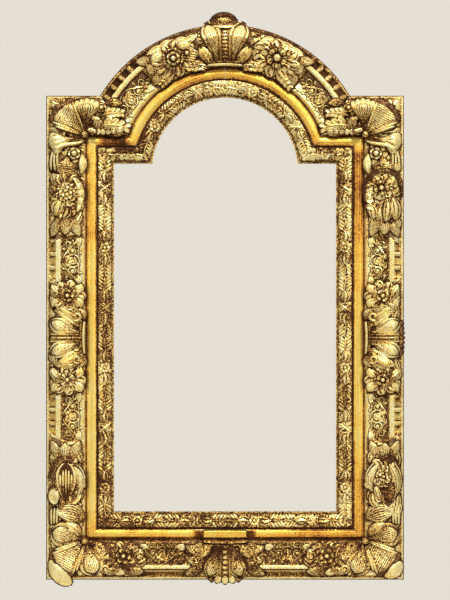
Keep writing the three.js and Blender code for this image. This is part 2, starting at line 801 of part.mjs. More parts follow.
for (const [word, { x, z }] of Object.entries(hangerPlaces)) {
  const hanger = new THREE.Group();
  hanger.position.set(x, 0, z);
  frame.add(hanger);
  addPiece(`hanger_strap_${word}`, strapBody(), brass, hanger);
  addPiece(`hanger_ring_${word}`, ringBody(), brass, hanger);
  const underside = recessDepth - 2 * fitGap - strapThickness;
  addPiece(`hanger_screw_${word}`, screw(underside).translate(0, 0, strapScrewRise), steel, hanger);
}

export default frame;
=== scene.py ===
import math

import bpy
import numpy as np
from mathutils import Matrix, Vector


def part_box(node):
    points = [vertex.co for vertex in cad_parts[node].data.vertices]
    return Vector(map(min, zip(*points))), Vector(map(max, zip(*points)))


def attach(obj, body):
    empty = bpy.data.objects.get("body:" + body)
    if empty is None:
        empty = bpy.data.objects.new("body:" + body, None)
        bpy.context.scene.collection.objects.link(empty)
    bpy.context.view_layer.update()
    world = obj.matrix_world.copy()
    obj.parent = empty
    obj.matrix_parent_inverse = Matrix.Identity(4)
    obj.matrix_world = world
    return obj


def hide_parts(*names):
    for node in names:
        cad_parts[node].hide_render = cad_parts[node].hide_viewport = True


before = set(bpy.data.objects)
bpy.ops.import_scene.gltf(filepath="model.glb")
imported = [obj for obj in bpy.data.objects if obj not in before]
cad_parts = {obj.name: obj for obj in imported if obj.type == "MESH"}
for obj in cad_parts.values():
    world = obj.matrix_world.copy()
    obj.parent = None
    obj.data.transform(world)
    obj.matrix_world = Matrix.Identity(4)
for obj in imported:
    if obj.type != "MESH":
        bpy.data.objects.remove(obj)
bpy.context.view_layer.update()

mm = 0.001
north, south, east, west = math.pi / 2, -math.pi / 2, 0.0, math.pi
print("frame loaded:", len(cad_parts), "nodes")

# Opening and section of the moulding, in mm: reach runs outward from the sight edge, height off the wall


def edgeOf(node, axis, end):  # one coordinate of a CAD piece's box
    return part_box(node)[end][axis] / mm


def middleOf(node):  # how high the middle of a CAD piece lies
    return 0.5 * (edgeOf(node, 2, 0) + edgeOf(node, 2, 1))


opening = {
    "half": edgeOf("slip_right", 0, 0),
    "sill": edgeOf("slip_bottom", 2, 1),
    "shoulder": edgeOf("slip_right_shoulder", 2, 0),
    "archRadius": 110.0,
    "archDrop": 10.5,  # arch centre below the shoulders
    "archSpread": 1.07,  # the arch's moulding is wider by this
}
half, sill, shoulder = opening["half"], opening["sill"], opening["shoulder"]
archZ = shoulder - opening["archDrop"]

section = {
    "width": edgeOf("right_stile", 0, 1) - half,
    "sightEdge": -0.4,
    "slipEnd": 25.1,
    "bandStart": 25.2,
    "coating": 0.4,  # gesso and leaf over the wood
    "shellRoot": 44.0,  # reach that the shells grow from
    "flowerReach": 68.0,
    "carvingBack": 27.0,
    "archLine": {"arch": 62.0, "wholeArch": 12.0},  # reach that lengths along the arch are measured at
    "band": (25.2, 26.5, 38.0, 40.0),  # plain burnished band, with soft edges
    "steps": [  # reach from and to, height from and to, swell in the middle
        (-0.4, 2.5, 20.0, 20.0, 0.2),  # sight edge
        (2.8, 22.5, 22.3, 30.0, 1.7),  # carved sight moulding
        (23.6, 25.1, 27.5, 27.5, 0.0),
        (25.2, 39.3, 29.5, 29.5, 2.5),  # plain burnished band
        (40.8, 40.9, 26.0, 26.0, 0.0),  # groove
        (42.3, 44.6, 30.0, 36.0, 0.8),
        (44.6, 46.8, 36.0, 36.0, 0.6),  # lip of the panel
        (46.8, 77.5, 36.0, 43.5, -6.5),  # carved panel
        (79.0, 85.0, 45.5, 45.5, 0.3),  # ridge
        (85.0, 96.0, 45.5, 34.5, -7.2),  # ribbed hollow
        (96.2, 100.4, 34.5, 34.5, 0.3),  # outer fillet
    ],
    "tone": [  # reach and how golden the leaf is there: 0 is dark patina, 1 is rubbed bright. The fall from 66 to 77 towards the ridge and the dark outer line from 99.6 are painted shade; the lip raised past 1 at 42.6 is painted light
        (-0.4, 0.8), (0.6, 0.75), (2.4, 0.9), (3.0, 0.25), (12.0, 0.3), (22.0, 0.35), (23.4, 0.45),
        (24.6, 0.5), (25.1, 0.05), (25.6, 0.6), (28.0, 0.8), (36.0, 0.82), (39.0, 0.8), (40.2, 0.55),
        (40.9, 0.4), (41.6, 0.9), (42.6, 1.15), (44.6, 1.0), (46.0, 0.85), (48.0, 0.74), (56.0, 0.68),
        (66.0, 0.6), (70.0, 0.48), (74.0, 0.34), (77.0, 0.36), (78.0, 0.5), (79.6, 0.9), (84.5, 0.9),
        (86.0, 0.45), (90.0, 0.4), (95.0, 0.4), (96.6, 0.6), (97.2, 0.95), (98.9, 1.0), (99.6, 0.2),
        (100.6, 0.05),
    ],
}
topZ = shoulder + section["width"]
bottomZ = sill - section["width"]
middleZ = 0.5 * (topZ + bottomZ)


def fadeIn(value, start, end):  # 0 up to the start, 1 from the end on
    return np.interp(value, [start, end], [0, 1])


def fadeOut(value, start, end):
    return 1 - fadeIn(value, start, end)


def between(value, start, full, fade, end):  # 1 from full to fade, 0 before the start and after the end
    return np.interp(value, [start, full, fade, end], [0, 1, 1, 0])


def frontLine(spacing=0.75):  # reach and height of the gilded front, from the sight edge outward
    reach, height = [], []
    for start, end, low, high, swell in section["steps"]:
        s = np.linspace(0, 1, max(2, int((end - start) / spacing) + 1))
        reach.append(start + s * (end - start))
        height.append(low + s * (high - low) + swell * np.sin(np.pi * s) + section["coating"])
    return np.concatenate(reach), np.concatenate(height)


frontReach, frontRise = frontLine()


def frontHeight(reach):
    return np.interp(reach, frontReach, frontRise)


def toneAt(reach):
    return np.interp(reach, *np.array(section["tone"]).T)


def upperHull():  # the front with its hollows bridged over, which the bold carvings stand on
    hull = []
    for point in zip(frontReach, frontRise):
        if point[0] < section["bandStart"]:
            continue
        while len(hull) > 1:
            (ax, ay), (bx, by) = hull[-2:]
            if (bx - ax) * (point[1] - ay) < (by - ay) * (point[0] - ax):
                break
            hull.pop()
        hull.append(point)
    return np.array(hull).T


hullReach, hullRise = upperHull()


def bridgeHeight(reach):
    return np.interp(reach, hullReach, hullRise)


def arcRadius(reach):
    return opening["archRadius"] + opening["archSpread"] * reach


def notchAngle(reach):  # angle on the arch of the mitre between arch and shoulder
    return np.arcsin((opening["archDrop"] + reach) / arcRadius(reach))


def reachOf(x, z):
    overArch = (np.hypot(x, z - archZ) - opening["archRadius"]) / opening["archSpread"]
    return np.maximum(np.maximum(np.abs(x) - half, sill - z), np.minimum(z - shoulder, overArch))


# Where a point of a member lies: u runs from one mitre to the other

jointGap = 0.12


def railPoint(kind, side, u, reach):
    reach = np.asarray(reach, float)
    radius = arcRadius(reach)
    if kind == "sill":
        start, end = -half - reach + jointGap, half + reach - jointGap
        return start + u * (end - start), sill - reach + 0 * u
    if kind == "stile":
        start, end = sill - reach + jointGap, shoulder + reach - jointGap
        return side * (half + reach) + 0 * u, start + u * (end - start)
    if kind == "shoulder":
        start, end = radius * np.cos(notchAngle(reach)) + jointGap, half + reach - jointGap
        return side * (start + u * (end - start)), shoulder + reach + 0 * u
    start = notchAngle(reach) + jointGap / radius
    end = np.pi - start if kind == "wholeArch" else np.pi / 2 - jointGap / radius
    angle = start + u * (end - start)
    return side * radius * np.cos(angle), archZ + radius * np.sin(angle)


def alongRail(kind, side, middle):  # a drawing plane bent along a member: a runs along it, b is the reach
    if kind == "sill":
        return lambda a, b: np.stack([middle + a, sill - b], -1)
    if kind == "stile":
        return lambda a, b: np.stack([side * (half + b), middle + a], -1)
    if kind == "shoulder":
        return lambda a, b: np.stack([side * (middle + a), shoulder + b], -1)

    def roundArch(a, b):
        angle = middle + a / arcRadius(section["archLine"][kind])
        return np.stack([side * arcRadius(b) * np.cos(angle), archZ + arcRadius(b) * np.sin(angle)], -1)
    return roundArch


def planeAt(x, z, heading, flip=1):  # a carver's flat plane: v runs along the heading, u lies to its right
    c, s = math.cos(heading), math.sin(heading)
    return lambda u, v: np.stack([x + v * c + flip * u * s, z + v * s - flip * u * c], -1)


def onStile(side, z, reach):  # a plane whose u runs up the stile and v outward
    return planeAt(side * (half + reach), z, east if side > 0 else west, -side)


def turned(place, u0, v0, degrees):  # the same plane moved to (u0, v0) and turned clockwise
    c, s = math.cos(math.radians(degrees)), math.sin(math.radians(degrees))
    return lambda u, v: place(u0 + u * c + v * s, v0 + v * c - u * s)


def mirrored(side, path):
    return [(side * u, v) for u, v in path]


def bezier(controls, s):
    points = np.array(controls, float)
    degree = len(points) - 1
    weights = [math.comb(degree, k) * s ** k * (1 - s) ** (degree - k) for k in range(degree + 1)]
    return np.stack(weights, -1) @ points


def coil(u0, v0, outer, inner, start, turns):  # a spiral path, from outside in
    def path(s):
        angle = math.radians(start) + 2 * np.pi * turns * s
        radius = outer + (inner - outer) * s ** 0.8
        return np.stack([u0 + radius * np.cos(angle), v0 + radius * np.sin(angle)], -1)
    return path


def quarterRound(c, start):
    return np.sqrt(np.clip(1 - ((c - start) / (1 - start)) ** 2, 0, 1))


domes = {  # height across a lobe, from its middle (0) to its edge (1)
    "round": lambda c: np.sqrt(np.clip(1 - c ** 2.4, 0, 1)),
    "flat": lambda c: np.clip(1 - c ** 8, 0, 1),
    "spoon": lambda c: np.where(c < 0.78, 0.42 + 0.58 * (c / 0.78) ** 2, quarterRound(c, 0.78)),
    "dish": lambda c: np.where(c < 0.9, 0.3 + 0.5 * fadeIn(c, 0.7, 0.75), 0.8 * quarterRound(c, 0.9)),
    "vein": lambda c: np.sqrt(np.clip(1 - c ** 2.2, 0, 1)) - 0.4 * np.exp(-((c / 0.16) ** 2)),
}
chisel = {  # marks of the tools: how wide, how deep and how much darker than the leaf. The darkening in cuts, dishes and on the sides is partly patina and partly painted shade; the edge highlight is a painted highlight along the rims
    "groove": (0.15, 1.8), "lowGroove": (0.1, 1.0), "grooveDepth": 0.8, "grooveTone": 0.02,
    "fluteDepth": 0.25, "fluteTone": 0.7, "ribDepth": 0.35, "ribTone": 0.6,
    "hatchDepth": 0.7, "hatchTone": 0.6, "edgeHighlight": 0.08, "dishTone": 0.03, "sideTone": 0.04,
}


class Carving:  # the closed lobes of one piece: points are x, z and height in mm
    def __init__(self):
        self.points, self.faces, self.tones = [], [], []  # tones: how golden each point is
        self.count = 0

    def add(self, points, faces, tones):
        self.points.append(points)
        self.tones.append(tones)
        self.faces += [[i + self.count for i in face] for face in faces]
        self.count += len(points)

    # rim lifts the lobe off its bed, lift is its swell, peak where it is widest, full how blunt its ends are
    def lobe(self, place, path, girth, lift, rim=1.5, peak=0.6, full=0.7, dome="round", bed=bridgeHeight,
             flutes=0, fade=0.0, ribs=0, hatch=0.0, tone=(0.45, 0.9), along=14, across=9,
             back=section["carvingBack"]):
        s = 0.5 - 0.5 * np.cos(np.pi * np.linspace(0.05, 0.95, along))
        line = path(s) if callable(path) else bezier(path, s)
        spine = place(line[:, 0], line[:, 1])
        tangent = np.gradient(spine, axis=0)
        tangent /= np.linalg.norm(tangent, axis=1)[:, None]
        normal = np.stack([-tangent[:, 1], tangent[:, 0]], -1)
        body = np.sin(np.pi * s ** (math.log(0.5) / math.log(peak)))
        width = 0.5 * girth * body ** full
        c = np.sin(np.linspace(-0.5, 0.5, across) * np.pi)
        groove = np.array(chisel["lowGroove" if back is None else "groove"])  # the cut round the lobe
        outRow, outColumn = [np.concatenate([-groove[::-1], np.zeros(n), groove]) for n in (along, across)]
        row = np.clip(np.arange(along + 4) - 2, 0, along - 1)
        c = c[np.clip(np.arange(across + 4) - 2, 0, across - 1)]
        cut = ((outRow != 0)[:, None] | (outColumn != 0)[None]).astype(float)
        along, across = cut.shape
        spine = spine[row] + tangent[row] * outRow[:, None]
        normal, width, body, s = normal[row], width[row], body[row], s[row]
        offset = width[:, None] * c + outColumn
        foot = spine[:, None] + normal[:, None] * offset[..., None]
        x, z = foot[..., 0], foot[..., 1]
        rise = domes[dome](np.abs(c))[None] * (body ** min(0.5, full))[:, None]
        # tone runs from the root to the tip: the darker root is painted shade, and the edge highlight is
        # painted light along the rims
        edge = np.clip((np.abs(c) - 0.8) / 0.2, 0, 1) ** 3
        colour = (tone[0] + (tone[1] - tone[0]) * s)[:, None] + chisel["edgeHighlight"] * edge
        if dome == "dish":
            colour = np.where(np.abs(c) < 0.74, chisel["dishTone"], colour)
        if flutes:
            wave = (0.5 - 0.5 * np.cos(2 * np.pi * flutes * c)) ** 3  # broad ribs and narrow cuts
            wave = wave[None] * (1 - fade * s)[:, None]
            rise = rise * (1 - chisel["fluteDepth"] * wave)
            colour = colour - chisel["fluteTone"] * wave
        if ribs:
            wave = (0.5 + 0.5 * np.cos(2 * np.pi * ribs * s))[:, None] ** 2
            rise = rise * (1 - chisel["ribDepth"] * wave)
            colour = colour - chisel["ribTone"] * wave
        under = bed(reachOf(x, z))
        height = under + rim + lift * rise * (1 - cut) - min(chisel["grooveDepth"], 0.6 * abs(rim)) * cut
        # the cut round the lobe is painted dark: partly patina, partly painted shade
        colour = colour * (1 - cut) + chisel["grooveTone"] * cut
        if hatch:
            run = np.concatenate([[0], np.cumsum(np.linalg.norm(np.diff(spine, axis=0), axis=1))])[:, None]
            steep = np.cos(2 * np.pi * (run + 0.3 * offset) / hatch)
            crossed = 0.5 * np.cos(2 * np.pi * (run - offset) / hatch)
            cuts = np.clip(np.maximum(steep, crossed), 0, 1) ** 2 * (1 - cut)
            height = height - chisel["hatchDepth"] * cuts
            colour = colour - chisel["hatchTone"] * cuts
        grid = np.arange(along * across).reshape(along, across)
        ring = np.concatenate([grid[0, :-1], grid[:-1, -1], grid[-1, :0:-1], grid[:0:-1, 0]])
        top = np.stack([x, z, height], -1).reshape(-1, 3)
        base = top[ring].copy()
        base[:, 2] = float(under.min()) - 1.0 if back is None else back
        low = np.arange(len(ring)) + len(top)
        quads = np.stack([grid[:-1, :-1], grid[1:, :-1], grid[1:, 1:], grid[:-1, 1:]], -1)
        quads = quads.reshape(-1, 4).tolist()
        quads += np.stack([ring, np.roll(ring, -1), np.roll(low, -1), low], -1).tolist()
        quads.append(low.tolist())
        tones = np.concatenate([colour.reshape(-1), np.full(len(ring), chisel["sideTone"])])
        self.add(np.concatenate([top, base]), quads, tones)

    def button(self, place, u, v, radius, lift, tone=(0.7, 0.9), **more):  # a round boss
        more = {"peak": 0.5, "full": 0.55, "along": 12, **more}
        self.lobe(place, [(u, v - radius), (u, v + radius)], 2 * radius, lift, tone=tone, **more)


carvings = {}  # finished carvings, by the CAD piece that each one stands for or covers


def carve(name, draw, *choices):
    carvings[name] = Carving()
    draw(carvings[name], *choices)


def pointsSoFar():
    return sum(c.count for c in carvings.values())


# Carvers' stock forms, made of lobes


def pear(c, place, root, belly, tip, girth, lift, tone=(0.1, 0.8), flutes=3):  # a cut lobe in a raised rim
    short = tuple(0.07 * r + 0.93 * t for r, t in zip(root, tip))
    c.lobe(place, [root, belly, tip], girth, 0.5 * lift, rim=3, peak=0.7, full=0.62, dome="dish",
           tone=(tone[0] + 0.2, tone[1] - 0.05), along=26, across=27)
    c.lobe(place, [root, belly, short], 0.66 * girth, 0.34 * lift, rim=4.0 + 0.15 * lift, peak=0.72,
           full=0.66, flutes=flutes, fade=0.4, tone=(tone[0] + 0.35, tone[1] + 0.12), along=26,
           across=8 * flutes + 11)


def blossom(c, place, u, v, rings, boss, lift, tone=(0.35, 1.0)):
    # layers of petals round a boss: how many, root, tip, girth, rise and turn
    for layer, (count, root, tip, girth, rise, turn) in enumerate(rings):
        for k in range(count):
            petal = turned(place, u, v, turn + 360 * k / count)
            c.lobe(petal, [(0, root), (0, tip)], girth, 0.55 * rise, rim=1.5 + 2.4 * layer + 0.8 * (k % 2),
                   peak=0.66, full=0.5, dome="spoon", flutes=1 if girth > 9 else 0, tone=tone, across=15)
    c.button(place, u, v, boss, 3, rim=lift - 2, tone=(0.6, 0.7))


def leaf(c, place, controls, girth, lift, tone=(0.2, 0.8), dome="vein", flutes=0, peak=0.5):  # a pointed leaf
    c.lobe(place, controls, girth, lift, peak=peak, full=0.8, dome=dome, flutes=flutes, tone=tone,
           along=18, across=8 * flutes + 11)


def leafRing(c, place, count, along, out, girth, lift, tone=(0.4, 0.9), start=0.0, curl=0.25):
    for k in range(count):  # leaves round a flower, every second one higher, brighter and slimmer
        angle = math.radians(start + 360 * k / count)
        odd = k % 2
        u, v = along * math.cos(angle), out * math.sin(angle)
        bend = (0.7 * u - curl * v, 0.7 * v + curl * u)
        c.lobe(place, [(0.35 * u, 0.35 * v), bend, (u, v)], girth * (1.1 - 0.2 * odd), 0.7 * lift,
               rim=1.2 + odd, full=0.6, flutes=1, tone=(tone[0], tone[1] + 0.18 * odd), along=16, across=19)


def acanthus(c, place, controls, girth, pairs, lift, tone=(0.2, 0.8), splay=46):  # leaflets beside a rib
    for k in range(pairs):
        s = (k + 0.5) / pairs
        u, v = bezier(controls, np.array([s]))[0]
        du, dv = bezier(controls, np.array([s + 0.02]))[0] - (u, v)
        heading = math.degrees(math.atan2(du, dv))
        size = girth * (0.72 - 0.3 * s)
        for side in (-1, 1):
            leaflet = turned(place, u, v, heading + side * splay)
            path = [(0, -0.5), (-side * 0.12 * size, 0.6 * size), (-side * 0.3 * size, size)]
            c.lobe(leaflet, path, 0.6 * size, lift * (1 - 0.3 * s), rim=0.8, peak=0.55, dome="vein",
                   tone=tone, along=9, across=7)
    c.lobe(place, controls, 0.16 * girth, lift * 1.25, rim=0.8, peak=0.4, full=0.5,
           tone=(tone[0] + 0.2, tone[1]), along=16, across=5)


def vase(c, place, reach, girth, lift, tone):  # a fluted bell with a scalloped lip
    for k in (-2, 2, -1, 1, 0):
        tip = turned(place, 0, 0, 9.0 * k)
        c.lobe(tip, [(0, 0.6 * reach), (0, reach + 3 - abs(k))], 0.3 * girth, 0.6 * lift, peak=0.65,
               full=0.5, dome="spoon", tone=(0.1, tone[1] + 0.1), along=12)
    c.lobe(place, [(0, 3), (0, 0.92 * reach)], girth, lift, peak=0.8, flutes=4, tone=tone, along=28,
           across=41)


def scroll(c, place, path, girth, lift, tone=(0.5, 0.75)):
    c.lobe(place, path, girth, lift, peak=0.5, full=0.2, tone=tone, along=34, across=7)


def volute(c, place, u, v, radius, start, turns, girth, lift, tone=(0.5, 0.75)):  # a scroll with its eye
    scroll(c, place, coil(u, v, radius, 0.3 * radius, start, turns), girth, lift, tone)
    c.button(place, u, v, 0.36 * radius, lift + 1, tone=(0.6, 0.7))


def bars(c, place, starts, ends, count, girth, lift, tone=(0.7, 0.9)):  # rods between two paths
    for k in range(count):
        share = k / max(1, count - 1)
        path = [tuple(a + share * (b - a) for a, b in zip(p, q)) for p, q in zip(starts, ends)]
        c.lobe(place, path, girth, lift, peak=0.5, full=0.25, tone=tone, along=16, across=5)


collarLeaves = [  # swing across the panel, girth, tip past the panel's end, lift and glow, from the lowest up
    (-0.5, 10, 8, 2.4, -0.25), (0.5, 10, 8, 2.4, -0.3), (-1, 14, 0, 3, 0.0), (1, 14, -1, 3, -0.05),
    (0, 16, 2, 3.6, 0.05),
]


def collar(c, place, end, way, depth, tone, middle=71):  # cut leaves that close the end of a panel
    for swing, girth, tip, lift, glow in collarLeaves:
        root, bend = (end + way * depth, middle + 10 * swing), (end + way * 0.4 * depth, middle + 14 * swing)
        leaf(c, place, [root, bend, (end + way * tip, middle + 21 * swing)], girth, lift,
             tone=(tone[0], tone[1] + glow), flutes=3)


# Shells of the crest, the bottom rail and the stiles

crest = {
    "bar": 26.0, "reach": 54.0, "stem": 8.5, "ribs": 9, "girth": 29.0, "lift": 9.0,
    "lobe": [(13, 4), (15, 36), (28, 63)],
    "side": [(19, 2), (27, 12), (34, 27)],
    "low": [(29, 1), (38, -3), (48, 3)],
}
bottomShell = {
    "bar": 33.0, "reach": 50.0, "stem": 8.0, "ribs": 6, "girth": 25.0, "lift": 8.0,
    "lobe": [(11, 6), (13, 28), (25, 52)],
    "side": [(20, 4), (30, 10), (38, 24)],
    "low": [(34, 2), (43, 8), (46, 22)],
}
sideShell = {
    "bar": 24.0, "reach": 50.0, "stem": 6.0, "ribs": 0, "girth": 24.0, "lift": 8.5,
    "lobe": [(9, 6), (11, 26), (25, 50)],
    "side": [(16, 4), (28, 18), (39, 38)],
    "low": [(27, -1), (35, 3), (44, 8)],
}


def shell(c, place, size, light=0.72, root=0.05, barLight=0.8):
    bar, reach, stem = size["bar"], size["reach"], size["stem"]
    c.lobe(place, [(-bar, -1), (0, 2), (bar, -1)], 4.0, 5, rim=2, peak=0.5, full=0.16,
           tone=(barLight, barLight), along=30, across=7)
    c.lobe(place, [(-bar, 3.5), (0, 6), (bar, 3.5)], 3.0, 3, rim=1, peak=0.5, full=0.2, tone=(0.35, 0.35),
           along=26, across=5)
    c.lobe(place, [(0, 2), (0, reach)], 3.6 * stem, 3, rim=1, peak=0.55, full=0.14, dome="flat",
           tone=(0.02, 0.3), along=30, across=11)
    c.lobe(place, [(0, 3), (0, reach - 2)], 1.1 * stem, 6, rim=2, peak=0.5, full=0.12, ribs=size["ribs"],
           flutes=0 if size["ribs"] else 1, tone=(0.25, 0.75), along=64, across=13)
    for side in (-1, 1):
        rods = [(0.75 * stem, 4), (0.9 * stem, reach)], [(1.3 * stem, 6), (1.45 * stem, reach - 4)]
        bars(c, place, *[mirrored(side, rod) for rod in rods], 2, 3.4, 6, tone=(root + 0.15, 0.9))
        lobe, sprig, low = [mirrored(side, size[key]) for key in ("lobe", "side", "low")]
        leaf(c, place, low, 15, 3.5, tone=(0.35, light), flutes=3)
        leaf(c, place, sprig, 15, 5, tone=(0.2, light))
        leaf(c, turned(place, 5 * side, -2, 0), sprig, 9, 7, tone=(0.2, light), peak=0.6)
        pear(c, place, *lobe, size["girth"], size["lift"], tone=(root, light))


def crestShell(c):
    place = planeAt(0, archZ + arcRadius(section["shellRoot"]), north)
    shell(c, place, crest, light=0.66)
    blunt = {"peak": 0.5, "full": 0.5}
    c.lobe(place, [(-22, 65), (-2, 66), (18, 65)], 24, 5, rim=5, dome="spoon", tone=(0.15, 0.15), along=30,
           across=17, **blunt)  # knob, with a painted highlight on it, and its neck
    c.lobe(place, [(-14, 66), (-2, 67), (11, 66)], 12, 4, rim=5, tone=(0.6, 0.4), along=20, **blunt)
    c.lobe(place, [(-19, 58), (-2, 55), (16, 58)], 5.5, 7, rim=4, peak=0.5, full=0.3, tone=(0.6, 0.6),
           along=24)
    for side in (-1, 1):
        outer, inner = [(30, -8), (38, -4), (46, -10)], [(26, -3), (34, 2), (44, -2)]
        bars(c, place, mirrored(side, outer), mirrored(side, inner), 3, 3.0, 3, tone=(0.5, 0.75))


def bottomRailShell(c):
    place = planeAt(0, sill - section["shellRoot"], south)
    shell(c, place, bottomShell, light=0.58, root=-0.35, barLight=0.25)
    for k in (-1, 0, 1):  # three tips below the rail
        c.lobe(place, [(7 * k, 47), (10 * k, 55), (13 * k, 62.5 - 2 * abs(k))], 10, 6, rim=3, peak=0.62,
               full=0.55, dome="spoon", tone=(0.35, 0.9))
    for side in (-1, 1):
        c.button(place, 20 * side, 55, 4, 5, rim=3, tone=(0.25, 0.3))


def stileShell(c, side):
    place = onStile(side, middleOf("side_shell_left"), section["shellRoot"])
    for end in (-1, 1):
        leaf(c, place, mirrored(end, [(28, -2), (42, 16), (40, 44)]), 20, 4, tone=(0.3, 0.75), flutes=5)
    shell(c, place, sideShell, light=0.86)
    for end in (-1, 1):
        scroll(c, place, coil(32 * end, 10, 7.5, 2.0, 90 * end, 1.3 * end), 4.2, 6)
    beads = range(-3, 4) if side > 0 else ()  # the right shell alone has dark beads along its outer edge
    for k in beads:
        c.button(place, 7.0 * k, 52.5 - 0.4 * abs(k), 4.0, 3, rim=2, tone=(0.1, 0.2))


carve("crest_shell", crestShell)
carve("bottom_shell", bottomRailShell)
carve("side_shell_left", stileShell, -1)
carve("side_shell_right", stileShell, 1)
print("shells:", pointsSoFar(), "points")

# Corner shells: a hatched wedge on the mitre between rods, a lobe on either side, leaves along both members

cornerShell = {
    "wedge": 53.0, "wedgeGirth": 39.0, "hatch": 3.3, "rodSplay": 24.0, "rodReach": 50.0,
    "lobeSplay": (46.0, 58.0), "lobeReach": 50.0, "lobeGirth": 36.0, "lift": 9.0, "apex": 41.0,
    "dim": {-1: 0.06, 1: 0.2},  # the lower corners are darker, the right one most
    "disc": {  # path, girth and tone of the smooth disc at each lower corner
        -1: ([(17, 58), (-8, 69), (-31, 61)], 23, (0.9, 1.0)),
        1: ([(17, 60), (0, 68), (-16, 60)], 20, (0.55, 0.75)),
    },
}


def upperLeaves(c, stile, rail):
    bars(c, stile, [(20, 81), (38, 86), (54, 80)], [(24, 90), (40, 95), (52, 92)], 3, 3.6, 3)
    leaf(c, stile, [(46, 54), (52, 70), (46, 88)], 23, 5, tone=(0.35, 0.5), dome="round", flutes=4)
    leaf(c, stile, [(28, 47), (42, 43), (58, 48)], 12, 4, tone=(0.8, 0.95))
    leaf(c, stile, [(32, 66), (42, 72), (50, 68)], 11, 5, tone=(0.3, 0.8))
    blossom(c, stile, 27, 58, [(5, 2, 9, 8, 5, 0)], 4, 8, tone=(0.4, 0.9))
    c.lobe(stile, [(34, 90), (6, 80), (18, 60), (8, 44)], 6, 7, rim=2, peak=0.5, full=0.4, tone=(0.9, 0.95),
           along=24, across=7)
    acanthus(c, rail, [(22, 54), (40, 60), (62, 52)], 25, 4, 4, tone=(0.35, 0.9))
    acanthus(c, rail, [(24, 70), (38, 76), (54, 74)], 20, 4, 4, tone=(0.3, 0.85))
    for k in range(6):
        c.button(rail, 10 + 8 * k, 46.5, 4.6, 2.5, tone=(0.6, 0.85))
    blossom(c, rail, 24, 82, [(5, 2, 7, 6, 4, 0)], 3, 6, tone=(0.3, 0.7))
    leaf(c, rail, [(30, 88), (42, 92), (54, 88)], 11, 3, tone=(0.15, 0.45))


def lowerLeaves(c, stile, rail, dim):
    bars(c, stile, [(26, 84), (38, 84), (50, 82)], [(24, 92), (36, 93), (48, 92)], 3, 3.6, 3)
    leaf(c, stile, [(30, 44), (46, 60), (42, 86)], 30, 5, tone=(0.4, 0.95 - dim), flutes=4)
    leaf(c, stile, [(6, 48), (18, 56), (26, 72)], 17, 6, tone=(0.3, 0.85 - dim))
    leaf(c, rail, [(8, 46), (24, 50), (27, 72)], 18, 5, tone=(0.1, 0.7 - dim))
    leaf(c, rail, [(24, 46), (42, 54), (40, 78)], 16, 5, tone=(0.1, 0.5), flutes=2)
    acanthus(c, rail, [(34, 54), (48, 60), (64, 54)], 21, 4, 4, tone=(0.05, 0.5))
    volute(c, rail, 30, 83, 7, 90, 1.2, 4, 4)
    leaf(c, rail, [(38, 84), (50, 90), (62, 86)], 12, 3, tone=(0.3, 0.8))


def cornerCarving(c, place, stile, rail, upper, twist):
    # stile and rail are planes along the two members: distance from the corner, then reach
    size = cornerShell
    wedge, reach, girth = size["wedge"], size["lobeReach"], size["lobeGirth"]
    dim = 0.0 if upper else size["dim"][twist]
    if upper:
        upperLeaves(c, stile, rail)
    else:
        lowerLeaves(c, stile, rail, dim)
        disc, discGirth, discTone = size["disc"][twist]
        c.lobe(place, disc, discGirth, 4, rim=2, peak=0.55, full=0.5, tone=discTone, along=24, across=13)
    for k in range(-2, 3):  # dark scalloped edge of the wedge
        scallop = turned(place, 0, 4, 9.5 * k)
        c.lobe(scallop, [(0, wedge - 16), (0, wedge + 5 - abs(k))], 13, 2.5, peak=0.72, full=0.5,
               tone=(0.05, 0.12))
    c.lobe(place, [(0, 3), (0, wedge)], size["wedgeGirth"], 4.5, rim=2, peak=0.86, full=0.3, dome="flat",
           hatch=size["hatch"], tone=(0.62, 0.74 - 0.5 * dim), along=72, across=49)
    for side in (-1, 1):
        fluted = upper and side == twist  # the lobe over the shoulder is a fluted vase
        for gap in (0,) if fluted else (0, 5):
            rod = turned(place, side * (1 + 0.4 * gap), 3, side * (size["rodSplay"] + 0.6 * gap))
            c.lobe(rod, [(0, 4), (0, size["rodReach"] - 1.4 * gap)], 4.4, 5, rim=2, full=0.35,
                   tone=(0.4, 0.7), along=26, across=7)
        flank = turned(place, side * 3, 1, side * size["lobeSplay"][0 if fluted else 1])
        root, belly = (0, 3), (-1.5 * side, 0.5 * reach)
        if fluted:
            vase(c, flank, reach, 0.9 * girth, size["lift"], (0.0, 0.85 if twist > 0 else 1.0))
        elif upper:
            c.lobe(flank, [root, belly, (2 * side, reach + 3)], 0.92 * girth, 5, rim=3, peak=0.84, full=0.85,
                   flutes=2, fade=0.5, tone=(0.2, 0.95), along=28, across=27)
        else:
            pear(c, flank, root, belly, (2 * side, reach), girth, size["lift"], tone=(-0.1, 0.78 - dim),
                 flutes=4)
    c.button(place, 0, 2, 5, 6, rim=2, tone=(0.3, 0.5))


for word, side in (("left", -1), ("right", 1)):
    edge = half + cornerShell["apex"]
    top, bottom = shoulder + cornerShell["apex"], sill - cornerShell["apex"]
    high = planeAt(side * edge, top, north - side * math.pi / 4)
    low = planeAt(side * edge, bottom, south + side * math.pi / 4)
    downStile = lambda p, b, s=side: np.stack([s * (half + b), top - p], -1)
    upStile = lambda p, b, s=side: np.stack([s * (half + b), bottom + p], -1)
    overShoulder = lambda p, b, s=side: np.stack([s * (edge - p), shoulder + b], -1)
    underSill = lambda p, b, s=side: np.stack([s * (edge - p), sill - b], -1)
    carve(f"corner_shell_top_{word}", cornerCarving, high, downStile, overShoulder, True, -side)
    carve(f"corner_shell_bottom_{word}", cornerCarving, low, upStile, underSill, False, side)
print("corner shells:", pointsSoFar(), "points so far")

# Flowers and rosettes, each with its own petals and leaves

flowers = {"archAngle": 25.0, "stileInset": 148.0, "railOffset": 152.0, "rosetteStep": 63.0}
flowerReach = section["flowerReach"]
upperFlowerZ = topZ - flowers["stileInset"]
lowerFlowerZ = bottomZ + flowers["stileInset"]


